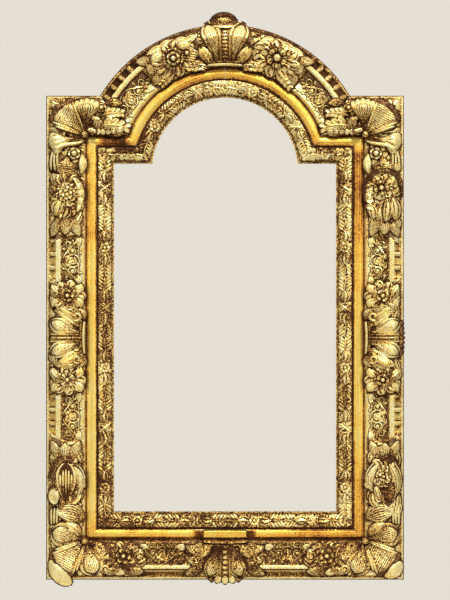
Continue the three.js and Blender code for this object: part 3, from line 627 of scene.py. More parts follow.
def petals(c, place, parts):  # path, girth, edge height, lift, cuts and tone, from the lowest petal up
    for path, girth, rim, lift, flutes, tone in parts:
        c.lobe(place, path, girth, lift, rim=rim, peak=0.55, full=0.5, dome="round" if flutes else "spoon",
               flutes=flutes, tone=tone, along=26, across=10 * flutes + 11)


def roseFlower(c, side):  # upper left: a full rose under a scalloped petal, with a bright leaf
    place = onStile(side, upperFlowerZ, flowerReach)
    leafRing(c, place, 11, 36, 25, 15, 4, tone=(0.1, 0.55))
    c.lobe(place, [(26, -8), (14, -24), (-8, -22), (-26, -14)], 10, 4, rim=4, peak=0.5, full=0.5,
           dome="spoon", ribs=5, tone=(0.95, 1.0), along=44, across=11)
    leaf(c, place, [(-8, 8), (-18, 18), (-32, 16)], 19, 7, tone=(0.7, 1.0), flutes=1)
    blossom(c, place, 0, 0, [(7, 8, 19, 15, 5, 10), (6, 4, 13, 11, 5, 30), (5, 2, 8, 7, 5, 0)], 3.2, 10,
            tone=(0.5, 1.0))


def peonyFlower(c, side):  # upper right: a ruffled flower under a dark arch, with leaves below
    place = onStile(side, upperFlowerZ, flowerReach)
    leafRing(c, place, 10, 37, 26, 15, 3.5)
    petals(c, place, [([(-14, -24), (34, -38), (54, 2), (36, 34), (-2, 28)], 7, 4, 3, 0, (0.02, 0.06))])
    blossom(c, place, 10, -2, [(6, 8, 25, 21, 6, 12), (5, 5, 18, 17, 6, 40), (4, 3, 11, 11, 6, 10)], 3.4, 11,
            tone=(0.15, 1.0))
    petals(c, place, [
        ([(-14, -20), (-24, -12), (-36, -14)], 13, 3, 4, 1, (0.5, 0.9)),
        ([(-6, 6), (-22, 10), (-40, 4)], 13, 6, 4, 1, (0.45, 0.95)),
        ([(-4, 14), (-20, 24), (-38, 18)], 14, 6, 4, 1, (0.5, 0.95)),
    ])
    for k in range(3):  # scalloped leaf on the sight side
        c.button(place, 2 - 10 * k, -20 + 0.6 * k, 5.2, 3, rim=3 + 0.6 * k, dome="spoon", tone=(0.5, 0.9),
                 across=11)


def stripedFlower(c, side):  # lower left: a cup of stamens under a dark arched petal
    place = onStile(side, lowerFlowerZ, flowerReach)
    leafRing(c, place, 10, 38, 25, 15, 3.5, tone=(0.2, 0.7))
    pear(c, place, (0, -24), (64, 2), (4, 27), 13, 4, tone=(-0.15, 0.2), flutes=1)
    pear(c, place, (-36, -6), (-4, -33), (26, -10), 12, 4, tone=(0.25, 0.75), flutes=1)
    petals(c, place, [
        ([(-24, 14), (0, 20), (18, 12)], 10, 4, 4, 1, (0.15, 0.45)),
        ([(-30, 0), (-38, -12), (-20, -20)], 6, 4, 3, 0, (0.4, 0.7)),
        ([(-12, 14), (-20, 24), (-34, 17)], 18, 5, 5, 0, (0.9, 1.0)),
        ([(-26, 10), (-34, 4), (-42, 12)], 9, 4, 4, 0, (0.35, 0.3)),
    ])
    c.lobe(place, [(-30, 2), (0, 2), (27, 2)], 31, 5, rim=4, full=0.5, dome="dish", tone=(0.3, 0.8),
           along=30, across=31)
    for k in range(-2, 3):  # upright stamens
        stamen = [(-19 + 2 * abs(k), 2 + 3.6 * k), (0, 2 + 4.4 * k), (18 - 2 * k * k, 2 + 4.2 * k)]
        c.lobe(place, stamen, 3.7, 4, rim=5.5, full=0.5, tone=(0.35, 0.95 - 0.1 * abs(k)), along=20, across=7)


def foldedFlower(c, side):  # lower right: a rose between two folded petals, with a scroll
    place = onStile(side, lowerFlowerZ, flowerReach)
    leafRing(c, place, 10, 38, 25, 15, 3.5, tone=(0.2, 0.7))
    petals(c, place, [([(26, -12), (46, 8), (24, 24)], 12, 2, 3, 0, (0.02, 0.06))])
    pear(c, place, (-36, 8), (-6, 36), (30, 10), 15, 4, tone=(0.15, 0.7), flutes=1)
    pear(c, place, (-26, 0), (-6, -36), (30, -6), 13, 4, tone=(0.2, 0.75), flutes=1)
    blossom(c, place, 7, 1, [(5, 4, 17, 17, 4, 20), (4, 2, 11.5, 13, 5, 60), (3, 1, 7, 9, 5, 10)], 2.2, 11,
            tone=(0.2, 0.95))
    petals(c, place, [
        ([(-30, 6), (-20, 14), (-4, 13)], 9, 6, 3, 0, (0.05, 0.3)),
        ([(-32, -2), (-20, -8), (-8, -10)], 9, 6, 3, 1, (0.4, 0.9)),
        ([(-18, -14), (-30, -18), (-38, -6)], 12, 4, 4, 1, (0.6, 0.95)),
    ])
    volute(c, place, -25, -6, 7, 60, 1.2, 4, 6, tone=(0.6, 0.9))


def onArch(side):
    lean = north - side * math.radians(flowers["archAngle"])
    radius = arcRadius(flowerReach)
    return planeAt(radius * math.cos(lean), archZ + radius * math.sin(lean), lean, -side)


def archRose(c, side):  # left of the crest: a round flower with a bud, striped and plain leaves
    place = onArch(side)
    leafRing(c, place, 11, 34, 26, 16, 4, tone=(0.05, 0.82))
    for way in (-1, 1):
        acanthus(c, place, mirrored(way, [(8, -14), (18, -21), (32, -27)]), 18, 4, 4, tone=(0.15, 0.8))
        leaf(c, place, mirrored(way, [(12, 12), (22, 14), (32, 7)]), 15, 6, tone=(0.6, 1.0))
    bars(c, place, [(14, -8), (28, -16)], [(22, 0), (36, -9)], 4, 3.2, 5, tone=(0.3, 0.75))
    blossom(c, place, 0, 0, [(9, 8, 16, 10, 4, 0), (6, 3, 10, 8, 8, 20)], 3.6, 11, tone=(0.1, 0.95))
    blossom(c, place, 22, -1, [(5, 2, 8, 7, 7, 0)], 3, 9, tone=(0.2, 0.75))


def archBloom(c, side):  # right of the crest: five broad petals over five small ones
    place = onArch(side)
    leafRing(c, place, 11, 37, 27, 16, 4, tone=(0.2, 0.9))
    for way in (-1, 1):
        acanthus(c, place, mirrored(way, [(8, -14), (20, -22), (36, -30)]), 19, 4, 4, tone=(0.4, 0.85))
    blossom(c, place, 0, 1, [(5, 9, 26, 21, 6, 20), (5, 5, 15, 13, 9, 56)], 5, 11, tone=(0.25, 1.0))


def railFlower(c, side):  # a daisy with a scroll on either side
    place = planeAt(side * flowers["railOffset"], sill - flowerReach, south, side)
    leafRing(c, place, 10, 33, 24, 14, 3.5, tone=(0.1, 0.5))
    for way in (-1, 1):
        leaf(c, place, mirrored(way, [(6, 14), (18, 20), (30, 19)]), 13, 4, tone=(0.3, 0.75), flutes=3)
        volute(c, place, 24 * way, -4, 8, 90, 1.3 * way, 3.4, 4, tone=(0.2, 0.65))
    blossom(c, place, 0, -4, [(8, 7, 18, 11, 4, 0), (6, 3, 11, 7.5, 6, 20)], 3, 8, tone=(0.05, 0.66))


rosettes = {  # side and end: rings of petals, and tone
    (-1, 1): ([(8, 5, 16, 11, 4, 8), (5, 3, 9, 8, 6, 30)], (0.15, 0.7)),
    (-1, -1): ([(5, 5, 18, 17, 4, 12), (4, 3, 11, 11, 6, 50)], (0.45, 1.0)),
    (1, 1): ([(6, 6, 17, 14, 4, 0), (4, 3, 9, 9, 6, 30)], (0.25, 0.9)),
    (1, -1): ([(7, 5, 15, 11, 4, 20), (5, 2, 9, 8, 6, 0)], (0.1, 0.75)),
}


def rosette(c, side, end):
    place = onStile(side, middleZ + end * flowers["rosetteStep"], flowerReach)
    rings, tone = rosettes[(side, end)]
    leafRing(c, place, 9, 21, 26, 14, 3.5, tone=(0.35, 0.85), start=15)
    if end < 0:  # painted shadow above the lower rosettes: a dark sheet behind their top
        petals(c, place, [([(4, -20), (36, 0), (4, 20)], 11, 2, 2, 0, (0.02, 0.08))])
    for way in (-1, 1):
        leaf(c, place, mirrored(way, [(4, -12), (9, -20), (18, -20)]), 12, 5, tone=(0.6, 0.95))
        leaf(c, place, mirrored(way, [(4, 13), (9, 20), (17, 23)]), 11, 4, tone=(0.5, 0.9))
    blossom(c, place, 0, 0, rings, 3.0, 8, tone=tone)


for word, side in (("left", -1), ("right", 1)):
    carve(f"upper_flower_{word}", roseFlower if side < 0 else peonyFlower, side)
    carve(f"lower_flower_{word}", stripedFlower if side < 0 else foldedFlower, side)
    carve(f"arch_flower_{word}", archRose if side < 0 else archBloom, side)
    carve(f"bottom_flower_{word}", railFlower, side)
    carve(f"rosette_{word}_upper", rosette, side, 1)
    carve(f"rosette_{word}_lower", rosette, side, -1)
print("flowers:", pointsSoFar(), "points so far")

# Name tablet: blank, with a rounded edge

tablet = {"length": 64.0, "width": 10.0, "front": 34.0, "lift": 0.6}


def nameTablet(c):
    end = 0.5 * tablet["length"]
    place = planeAt(0, middleOf("name_tablet"), north)
    flat = lambda reach: 0 * reach + tablet["front"]
    c.lobe(place, [(-end, 0), (end, 0)], tablet["width"], tablet["lift"], rim=0, peak=0.5, full=0.04,
           dome="flat", bed=flat, tone=(0.8, 0.8), along=24)


carve("name_tablet", nameTablet)

# Gilded coats of the members: sunk panels between stretches of crowded carving that fill the section

archMiddle = arcRadius(section["archLine"]["arch"])  # radius that lengths along the arch are measured at
member = {
    "step": 1.0, "innerDepth": 2.2, "wall": 1.2, "sightFoot": 16.6, "outerFoot": 1.0,
    "leafSize": 6.5, "leafCut": 2.0, "slipLeaf": 4.6, "slipCut": 1.3,
    "fill": (42.0, 44.5, 93.0, 96.5), "slipFill": (3.0, 4.0, 21.5, 22.5),
    "panels": {  # middle and half length along each member
        "stile": [(447.0, 37.5), (214.0, 37.0)], "sill": [(-94.0, 36.0), (94.0, 36.0)], "shoulder": [],
        "arch": [(math.radians(36.5) * archMiddle, 44.0)],
    },
    "openHollow": {  # stretches along the member, with a soft start and end
        "arch": [math.radians(angle) * archMiddle for angle in (18.0, 19.0, 57.0, 58.0)],
        "sill": [40.0, 42.0, 182.0, 184.0],
    },
    "ribPitch": {"stile": 20.5, "arch": 15.5}, "ribsBeyond": {"stile": 4, "arch": 30}, "ribGirth": 6.5,
    "groundHatch": 3.6, "groundCut": 0.35, "groundTone": 0.14, "leafSink": 1.2, "leafTone": (-0.05, 0.72),
    "slipTone": (-0.4, 0.8), "sillSlip": 0.04, "panelGlow": 0.2, "archPanel": 0.28, "archRim": 0.25,
    "besideTablet": (40.0, 6.0, 0.7),  # how far from the middle, how wide and how dark
}
toneShifts = {  # lighter or darker than the section's tones by this, between two reaches with soft ends. On the bottom rail the darker stretches from 35.5 to 47.5 are painted shade under the band
    "stile": [(0.5, 84, 86, 95, 96)],
    "shoulder": [(0.05, 84, 86, 95, 96), (-0.15, 95.5, 96.5, 110, 111)],
    "arch": [(-0.55, 84, 86, 95, 96), (-0.3, 95.5, 96.5, 110, 111)],
    "sill": [(0.46, 84, 86, 95, 96), (-0.5, 41.5, 42.5, 46.5, 47.5), (-0.3, 35.5, 37.5, 40, 41),
             (-1.3, 82.8, 83.6, 84.9, 85.7), (-0.25, 87.5, 89, 94.5, 95.5)],
}


def scatter(i, j, seed):  # repeatable chance values between 0 and 1
    return np.modf(np.abs(np.sin(i * 127.1 + j * 311.7 + seed * 74.7) * 43758.5453))[0]


def drift(x, z, size, seed):  # soft random waves, size mm apart
    i, j = np.floor(x / size), np.floor(z / size)
    s, t = x / size - i, z / size - j
    s, t = s * s * (3 - 2 * s), t * t * (3 - 2 * t)
    near = scatter(i, j, seed) * (1 - s) + scatter(i + 1, j, seed) * s
    far = scatter(i, j + 1, seed) * (1 - s) + scatter(i + 1, j + 1, seed) * s
    return near * (1 - t) + far * t


def chiselled(x, z, size):  # crowded leaf tips parted by curling cuts, 0 in the cuts and 1 on top
    bentX = x + 1.8 * size * drift(x, z, 2 * size, 1)
    bentZ = z + 1.8 * size * drift(x, z, 2 * size, 2)
    return np.clip(2.4 * np.abs(2 * drift(bentX, bentZ, size, 3) - 1), 0, 1) ** 0.7


def lengthAlong(kind, x, z):
    if kind == "arch":
        return np.arctan2(z - archZ, np.abs(x)) * archMiddle
    return {"stile": z, "sill": x, "shoulder": np.abs(x)}[kind]


def panelShare(kind, a, reach, beyond=0.0):  # 1 on a sunk panel with bowed ends, 0 on the carving between
    share = 0 * a
    for middle, length in member["panels"][kind]:
        bow = length + beyond - 5.0 * ((reach - 64.0) / 18.0) ** 2
        share = np.maximum(share, 1 / (1 + np.exp(np.clip((np.abs(a - middle) - bow) / 0.8, -40, 40))))
    return share


def paintedShadeAt(kind, reach, z):  # painted shade: dark on the bottom rail's sunk side, under the band; a little lighter outside the top corners
    paintedShade = -0.12 * fadeIn(reach, 80, 88) * fadeIn(z, shoulder, shoulder + 40)
    if kind == "sill":
        paintedShade = paintedShade + np.interp(reach, [42.0, 46.0, 58.0, 76.0], [0, 0.3, 0.22, 0])
    return paintedShade


def hollowOpen(kind, a, reach):  # 1 where the ridge and the outer hollow stay open beyond the panels
    if kind not in member["openHollow"]:
        return 0 * a
    return fadeIn(reach, 77.0, 78.5) * between(np.abs(a), *member["openHollow"][kind])


def carvedFront(kind, x, z, reach):  # height and tone of a member's front
    a = lengthAlong(kind, x, z)
    sunk = panelShare(kind, a, reach)
    share = between(reach, *member["fill"]) * (1 - sunk) * (1 - hollowOpen(kind, a, reach))
    ridge = chiselled(x, z, member["leafSize"])
    paintedShade = paintedShadeAt(kind, reach, z)
    height = frontHeight(reach)
    tone = toneAt(reach) + sum(shift * between(reach, *span) for shift, *span in toneShifts[kind])
    if kind == "sill":
        away, spread, dark = member["besideTablet"]
        shadow = np.exp(-((np.abs(x) - away) / spread) ** 2)
        tone = tone - dark * shadow * between(reach, 26, 30, 38, 40)
    else:
        glow = np.interp(reach, [46.0, 48.0, 70.0, 77.0], [0, 1, 1, 0.4])
        tone = tone + member["panelGlow"] * sunk * glow
    if kind == "arch":
        tone = tone - member["archPanel"] * sunk * between(reach, 60, 66, 77, 78)
    pitch = member["groundHatch"]
    hatch = np.maximum(np.cos(2 * np.pi * (a + reach) / pitch), np.cos(2 * np.pi * (a - reach) / pitch))
    ground = between(reach, 47, 50, 74, 77) * sunk * np.clip(hatch, 0, 1)
    carved = bridgeHeight(reach) - member["leafSink"] + member["leafCut"] * (ridge - 0.6)
    inCuts, onTop = member["leafTone"]
    height = height + share * (carved - height) - member["groundCut"] * ground
    tone = tone + share * (inCuts + onTop * ridge - paintedShade - tone)
    tone = tone - member["groundTone"] * ground - 0.5 * paintedShade * sunk
    if kind == "arch":  # the outer side is dirtier
        tone = tone - member["archRim"] * fadeIn(reach, 80, 88)
    return height, tone


foliage = {
    "spacing": 12.0, "length": 21.0, "girth": 11.0, "lift": 1.6, "flow": 34.0, "rows": 4, "firstRow": 50.0,
    "inner": 45.0, "outer": 96.0, "offMitre": 8.0, "pastPanel": 20.0, "jitter": 0.4, "swirl": 720.0,
    "stray": 60.0, "sizes": (0.8, 0.4), "bend": 10.0, "light": (0.75, 0.3), "rootShade": 0.25,
    "spans": {"stile": (bottomZ, topZ), "sill": (-half - 100, half + 100), "shoulder": (110, half + 100),
              "arch": (80, 282)},
}
carvedSpots = [(0, archZ + arcRadius(74.0), 46), (0, sill - 72, 40)]  # x, z and radius of shells and flowers
for side in (-1, 1):
    apex = cornerShell["apex"]
    carvedSpots += [(side * (half + apex), z, 62) for z in (shoulder + apex, sill - apex)]
    carvedSpots += [(side * (half + 70), middleZ + end * flowers["rosetteStep"], 20) for end in (-1, 0, 1)]
    carvedSpots += [(side * (half + flowerReach), z, 27) for z in (upperFlowerZ, lowerFlowerZ)]
    carvedSpots.append((side * flowers["railOffset"], sill - flowerReach, 24))


def clearOfMitre(kind, x, z, reach):  # how far a point of a member lies from its mitred ends
    if kind == "sill":
        return half + reach - abs(x)
    if kind == "stile":
        return min(z - sill + reach, shoulder + reach - z)
    start = arcRadius(reach) * math.cos(notchAngle(reach))
    return min(abs(x) - start, half + reach - abs(x)) if kind == "shoulder" else z - shoulder - reach


def roomFor(kind, a, b, x, z):  # whether shells, flowers, panels and mitres leave room for a leaf
    if panelShare(kind, a, b, foliage["pastPanel"]) > 0.2 or hollowOpen(kind, a, b) > 0.2:
        return False
    if min(math.hypot(x - u, z - v) - radius for u, v, radius in carvedSpots) < 0:
        return False
    return abs(reachOf(x, z) - b) <= 1.0 and clearOfMitre(kind, x, z, b) >= foliage["offMitre"]


def leafage(c, kind, side):  # cut leaves crowded over a member wherever there is room
    spacing = foliage["spacing"]
    first, last = foliage["spans"][kind]
    place = alongRail(kind, side, 0.0)
    for i in range(int((last - first) / spacing)):
        for j in range(foliage["rows"]):
            chance = [scatter(i, j, seed) for seed in range(8)]
            a = first + (i + 0.5 * (j % 2) + foliage["jitter"] * chance[1]) * spacing
            b = foliage["firstRow"] + (j + foliage["jitter"] * chance[2]) * spacing
            x, z = place(np.array(a), np.array(b))
            if not roomFor(kind, a, b, x, z):
                continue
            swirl = foliage["swirl"] * float(drift(x, z, foliage["flow"], 5))
            least, more = foliage["sizes"]
            size = foliage["length"] * (least + more * chance[4])
            least, more = foliage["light"]
            light = least + more * chance[6] - paintedShadeAt(kind, b, z)
            plane = turned(place, a, b, swirl + foliage["stray"] * chance[3])
            ends = plane(np.zeros(2), np.array([-0.5, 0.5]) * size)
            endReach = reachOf(ends[:, 0], ends[:, 1])
            if endReach.max() > foliage["outer"] or endReach.min() < foliage["inner"]:
                continue
            bend = foliage["bend"] * (chance[5] - 0.5)
            c.lobe(plane, [(0, -0.5 * size), (bend, 0), (0, 0.5 * size)], foliage["girth"], foliage["lift"],
                   rim=0.4 + 0.8 * chance[7], full=0.6, flutes=1, tone=(light - foliage["rootShade"], light),
                   along=12, across=17)


def coat(c, kind, side, start, end, outer):  # the gilded skin of a member, or of a slip where outer is false
    wall = member["wall"]
    reach = frontReach[(frontReach >= start) & (frontReach <= end)]
    inside = np.linspace(end - wall, start + wall, 24)
    underside = frontHeight(inside) - member["innerDepth"]
    if outer:  # the outer side, down to the wall
        line = np.concatenate([reach, [end, end - wall], inside])
        under = np.concatenate([[member["outerFoot"]] * 2, underside])
        first = 0
    else:  # the sight edge, down to the picture
        line = np.concatenate([[start], reach, inside, [start + wall]])
        under = np.concatenate([underside, [member["sightFoot"]]])
        first = 1
    ends = np.stack(railPoint(kind, side, np.array([0.0, 1.0]), np.full(2, end)), -1)
    length = np.linalg.norm(ends[1] - ends[0]) * (1.3 if kind in section["archLine"] else 1.0)
    count = max(12, int(length / member["step"]))
    x, z = railPoint(kind, side, np.linspace(0, 1, count)[:, None], line[None])
    height = np.zeros_like(x)
    tones = np.broadcast_to(toneAt(line), x.shape).copy()
    front = slice(first, first + len(reach))
    if outer:
        height[:, front], tones[:, front] = carvedFront(kind, x[:, front], z[:, front], line[None, front])
    else:
        height[:, 0] = member["sightFoot"]
        tones -= member["sillSlip"] * (kind == "sill")
        ridge = chiselled(x[:, front] + z[:, front], z[:, front] - x[:, front], member["slipLeaf"])
        share = between(reach, *member["slipFill"])
        height[:, front] = frontHeight(reach) + member["slipCut"] * share * (ridge - 0.6)
        inCuts, onTop = member["slipTone"]
        tones[:, front] += share * (inCuts + onTop * ridge)
    height[:, front.stop:] = under
    points = np.stack([x, z, height], -1)
    grid = np.arange(x.size).reshape(x.shape)
    nextAcross = np.roll(grid, -1, axis=1)
    faces = np.stack([grid[:-1], grid[1:], nextAcross[1:], nextAcross[:-1]], -1).reshape(-1, 4)
    caps = [grid[0].tolist(), grid[-1, ::-1].tolist()]
    a, b, d = points[0, 3], points[1, 3], points[0, 4]
    if (b[1] - a[1]) * (d[0] - a[0]) - (b[0] - a[0]) * (d[1] - a[1]) > 0:  # turn the faces outward
        faces = faces[:, ::-1]
        caps = [face[::-1] for face in caps]
    c.add(points.reshape(-1, 3), faces.tolist() + caps, tones.reshape(-1))


def ribs(c, kind, place, length):  # short straps across the outer hollow beside a panel
    pitch = member["ribPitch"][kind]
    count = int(2 * length / pitch)
    top = lambda reach: np.interp(reach, [84.0, 97.0], [45.0, 33.5])
    for k in range(count):
        a = (k + 0.5 - 0.5 * count) * pitch
        c.lobe(place, [(a, 84.6), (a, 96.6)], member["ribGirth"], 2.4, rim=-1.0, peak=0.5, full=0.12, bed=top,
               tone=(0.4, 0.5) if kind == "arch" else (0.6, 0.65), along=8, across=7, back=30.0)


# Low relief of the panels: scrolls, leaflets and smooth cushions on a hatched ground

panel = {"strap": 1.6, "lift": 1.6, "spread": 38.0, "eye": (15, 61), "middle": 60, "root": 74}


def arabesque(c, place, length, twist, bright):
    low = {"bed": frontHeight, "rim": 0.4, "back": None}
    lift, strap, middle, root = [panel[key] for key in ("lift", "strap", "middle", "root")]
    even, rising = (bright, bright), {"tone": (0.4, bright), "along": 8, "across": 5, **low}
    small = {"tone": even, "along": 8, "across": 7, **low}
    for end in (-1, 1):
        e = end * length / panel["spread"]
        eye = panel["eye"][0] * e, panel["eye"][1]
        straps = [  # path, girth, bluntness and steps
            (coil(*eye, 8.5, 2.0, 90 - 100 * end, 1.35 * end), strap, 0.3, 40),
            (coil(26 * e, 66, 6.0, 1.6, 90 + 100 * end, -1.2 * end), 0.85 * strap, 0.3, 30),
            (mirrored(e, [(3, 74), (12, 75), (22, 56), (31, 60)]), strap, 0.35, 26),
            (mirrored(e, [(2, 56), (8, 48), (18, 54), (30, 51)]), strap, 0.35, 26),
        ]
        for path, girth, full, along in straps:
            c.lobe(place, path, girth, lift, peak=0.5, full=full, tone=even, along=along, across=5, **low)
        cushion = mirrored(e, [(22, 51.5), (30, 50), (36, 55)])
        c.lobe(place, cushion, 10, lift, full=0.5, tone=(0.8, 0.95), along=16, across=11, **low)
        c.button(place, *eye, 2.6, 2.4, **small)
        for k in range(6):
            petal = turned(place, *eye, 60 * k + 20)
            c.lobe(petal, [(0, 8.5), (twist, 12), (2.2 * twist, 15)], 4.4, lift, peak=0.5, full=0.8, **rising)
        for k in range(4):
            a, b = (18 + 4.5 * k) * e, 57 + 3 * k
            c.lobe(place, [(a, b), (a + 3 * e, b - 3), (a + 7 * e, b - 3.5)], 3.6, lift, peak=0.5, full=0.8,
                   **{**rising, "tone": (0.35, bright)})
    for ring in (4.5, 9.5):
        c.lobe(place, coil(0, middle, ring, ring - 0.4, 0, 0.98), 2.2, lift, peak=0.5, full=0.2, tone=even,
               along=40, across=5, **low)
    for k in range(-2, 3):
        fan = turned(place, 0, root, 180 + 26 * k)
        c.lobe(fan, [(0, 1), (0, 15 - 2.0 * abs(k))], 4.6, 1.3 * lift, peak=0.62, dome="vein",
               tone=(0.35, bright), along=10, across=7, **low)
    c.button(place, 0, middle, 2.6, 2.4, **small)


# Sight moulding: rosettes or crossed ribbons, with a smooth leaf and a ribbed leaf both ways from each

leafRun = {"unit": 86.0, "middle": 12.6, "lift": 1.8}


def sightLeaves(c, place, length, offset):
    units = max(1, round(length / leafRun["unit"]))
    unit = length / units
    low = {"bed": frontHeight, "rim": 0.2, "peak": 0.5, "back": None}
    lift = leafRun["lift"]
    for k in range(units):
        start = (k + 0.5 - 0.5 * units) * unit
        at = lambda s, t: (start + s * unit, leafRun["middle"] + t)
        if (k + offset) % 2:
            for j in range(7):
                petal = turned(place, *at(0, 0), 360 * j / 7)
                c.lobe(petal, [(0, 2), (0, 7.4)], 5.6, lift + 0.4, full=0.6, dome="spoon", tone=(0.4, 0.95),
                       along=9, across=7, **{**low, "peak": 0.62})
            c.button(place, *at(0, 0), 2.4, lift + 1, tone=(0.7, 0.8), along=8, across=7, **low)
        else:
            for side in (-1, 1):
                ribbon = [at(-0.07, -8.8 * side), at(0, 0), at(0.07, 8.8 * side)]
                c.lobe(place, ribbon, 3.0, lift + 0.6, full=0.3, tone=(0.7, 0.7), along=16, across=5, **low)
        for end in (-1, 1):
            smooth = [at(s * end, t * end) for s, t in ((0.09, -1.5), (0.17, 4), (0.29, -1))]
            c.lobe(place, smooth, 12.5, lift, flutes=1, tone=(0.55, 0.95), along=18, across=19, **low)
            stem = [at(s * end, t * end) for s, t in ((0.27, 2), (0.34, -4), (0.42, 3), (0.5, 0))]
            c.lobe(place, stem, 2.2, lift + 0.4, full=0.4, tone=(0.5, 0.85), along=22, across=5, **low)
            for j in range(4):
                s = (0.28 + 0.056 * j) * end
                size = 9.4 - 0.5 * j + 1.2 * scatter(k, j, 8)
                light = 0.85 + 0.3 * scatter(k, j, 5)
                for side in (-1, 1):
                    bend, tip = at(s + 0.02 * end, 0.55 * side * size), at(s + 0.08 * end, side * size)
                    path = [at(s, 0.6 * side), bend, tip]
                    c.lobe(place, path, 3.8, lift, full=0.65, tone=(0.5, light), along=9, across=7, **low)
            for side in (-1, 1):
                path = [at(0.1 * end, 7.5 * side), at(0.18 * end, 9.4 * side), at(0.26 * end, 7.5 * side)]
                c.lobe(place, path, 2.6, lift, full=0.4, ribs=5, tone=(0.45, 0.75), along=26, across=5, **low)


memberKinds = {
    "bottom_rail": ("sill", 1), "left_stile": ("stile", -1), "right_stile": ("stile", 1),
    "left_shoulder": ("shoulder", -1), "right_shoulder": ("shoulder", 1),
    "left_arch": ("arch", -1), "right_arch": ("arch", 1),
}
slipKinds = {
    "slip_bottom": ("sill", 1), "slip_left": ("stile", -1), "slip_right": ("stile", 1),
    "slip_left_shoulder": ("shoulder", -1), "slip_right_shoulder": ("shoulder", 1),
    "slip_arch": ("wholeArch", 1),
}
collars = {"stile": (30, (0.3, 0.92)), "arch": (17, (0.3, 0.92)), "sill": (30, (0.1, 0.62))}  # depth and tone


def carvedMember(c, kind, side):
    coat(c, kind, side, section["bandStart"], section["width"] + section["coating"], True)
    for middle, length in member["panels"][kind]:
        place = alongRail(kind, side, middle / archMiddle if kind == "arch" else middle)
        arabesque(c, place, length, side, 0.55 if kind == "sill" else 0.82)
        if kind in member["ribPitch"]:
            ribs(c, kind, place, length + member["ribsBeyond"][kind])
        for way in (-1, 1):
            collar(c, place, way * length, way, *collars[kind])
    leafage(c, kind, side)
    if kind == "sill":  # thin bright line along the inner edge of the band
        c.lobe(alongRail(kind, side, 0.0), [(-48, 26.4), (40, 26.4)], 1.8, 1.2, bed=frontHeight, rim=0.3,
               peak=0.5, full=0.1, tone=(0.9, 0.9), along=30, across=5, back=None)


leafMiddle = leafRun["middle"]
shoulderEnd = arcRadius(leafMiddle) * math.cos(notchAngle(leafMiddle))
archAngle = math.pi - 2 * notchAngle(leafMiddle)
slipRuns = {  # middle of the run and its length, clear of the mitres
    "stile": (0.5 * (sill + shoulder), shoulder - sill + 16), "sill": (0.0, 2 * half + 16),
    "wholeArch": (math.pi / 2, archAngle * arcRadius(section["archLine"]["wholeArch"]) - 6),
    "shoulder": (0.5 * (half + leafMiddle + shoulderEnd), half + leafMiddle - shoulderEnd - 6),
}


def carvedSlip(c, kind, side):
    coat(c, kind, side, section["sightEdge"], section["slipEnd"], False)
    middle, length = slipRuns[kind]
    sightLeaves(c, alongRail(kind, side, middle), length, 0 if kind == "wholeArch" else 1)


for name, (kind, side) in memberKinds.items():
    carve(name, carvedMember, kind, side)
for name, (kind, side) in slipKinds.items():
    carve(name, carvedSlip, kind, side)
print("mouldings:", pointsSoFar(), "points so far")

# Patina: all carvings are set into one height map, and what stands above its surroundings is rubbed bright,
# while what lies below them is darkened, partly as grime and partly as painted shade

patina = {
    "cell": 0.75, "margin": 60.0, "near": 1.5, "wide": 6.0, "rub": (0.06, 0.012), "grimeAndShade": (0.22, 0.03),
    "contrast": 1.5, "patchy": 0.65, "patchSize": 40.0, "sight": (3.0, 4.0, 22.0, 24.0),
    "flatDark": (-0.4, -0.15),
    "bandWaves": 0.36, "bandWaveSize": 60.0,
    "brush": 0.09, "brushRate": 1.7, "brushSwing": 6.0, "brushBend": 80.0,
    "shoulderDull": 0.55, "shoulderGlow": 0.2, "archDull": 0.14,
    "upperDull": (0.31, 0.43), "lowerDull": (0.0, 0.32), "footDull": (0.2, 0.03),  # on the left, on the right
    "upperStart": (150.0, 200.0), "upperFade": (40.0, 90.0),
}


def cellOf(points, low):  # row and column of the map
    column, row = ((points[:, :2] - low) / patina["cell"]).astype(int).T
    return row, column


def heightMap():
    low = np.array([-half - section["width"], bottomZ]) - patina["margin"]
    high = np.array([half + section["width"], archZ + arcRadius(section["width"])]) + patina["margin"]
    size = ((high - low) / patina["cell"]).astype(int)
    x, z = [low[k] + (np.arange(size[k]) + 0.5) * patina["cell"] for k in (0, 1)]
    reach = reachOf(x[None, :], z[:, None])
    known = ((reach >= 0) & (reach <= section["width"])).astype(float)
    heights = frontHeight(reach) * known
    for c in carvings.values():
        points = np.concatenate(c.points)
        cell = cellOf(points, low)
        np.maximum.at(heights, cell, points[:, 2])
        known[cell] = 1.0
    return low, heights, known


def soften(image, sigma):  # a blur in mm, done with a transform
    rows = np.fft.fftfreq(image.shape[0])[:, None]
    columns = np.fft.rfftfreq(image.shape[1])[None, :]
    kernel = np.exp(-2 * (np.pi * sigma / patina["cell"]) ** 2 * (rows ** 2 + columns ** 2))
    return np.fft.irfft2(np.fft.rfft2(image) * kernel, image.shape)


mapLow, heights, known = heightMap()
around = {}  # mean height of the surroundings
for key in ("near", "wide"):
    around[key] = soften(heights, patina[key]) / np.maximum(soften(known, patina[key]), 0.05)


def bothSides(key, x):  # the right half has its own wear
    left, right = patina[key]
    return left + (right - left) * fadeIn(x, -60, 40)


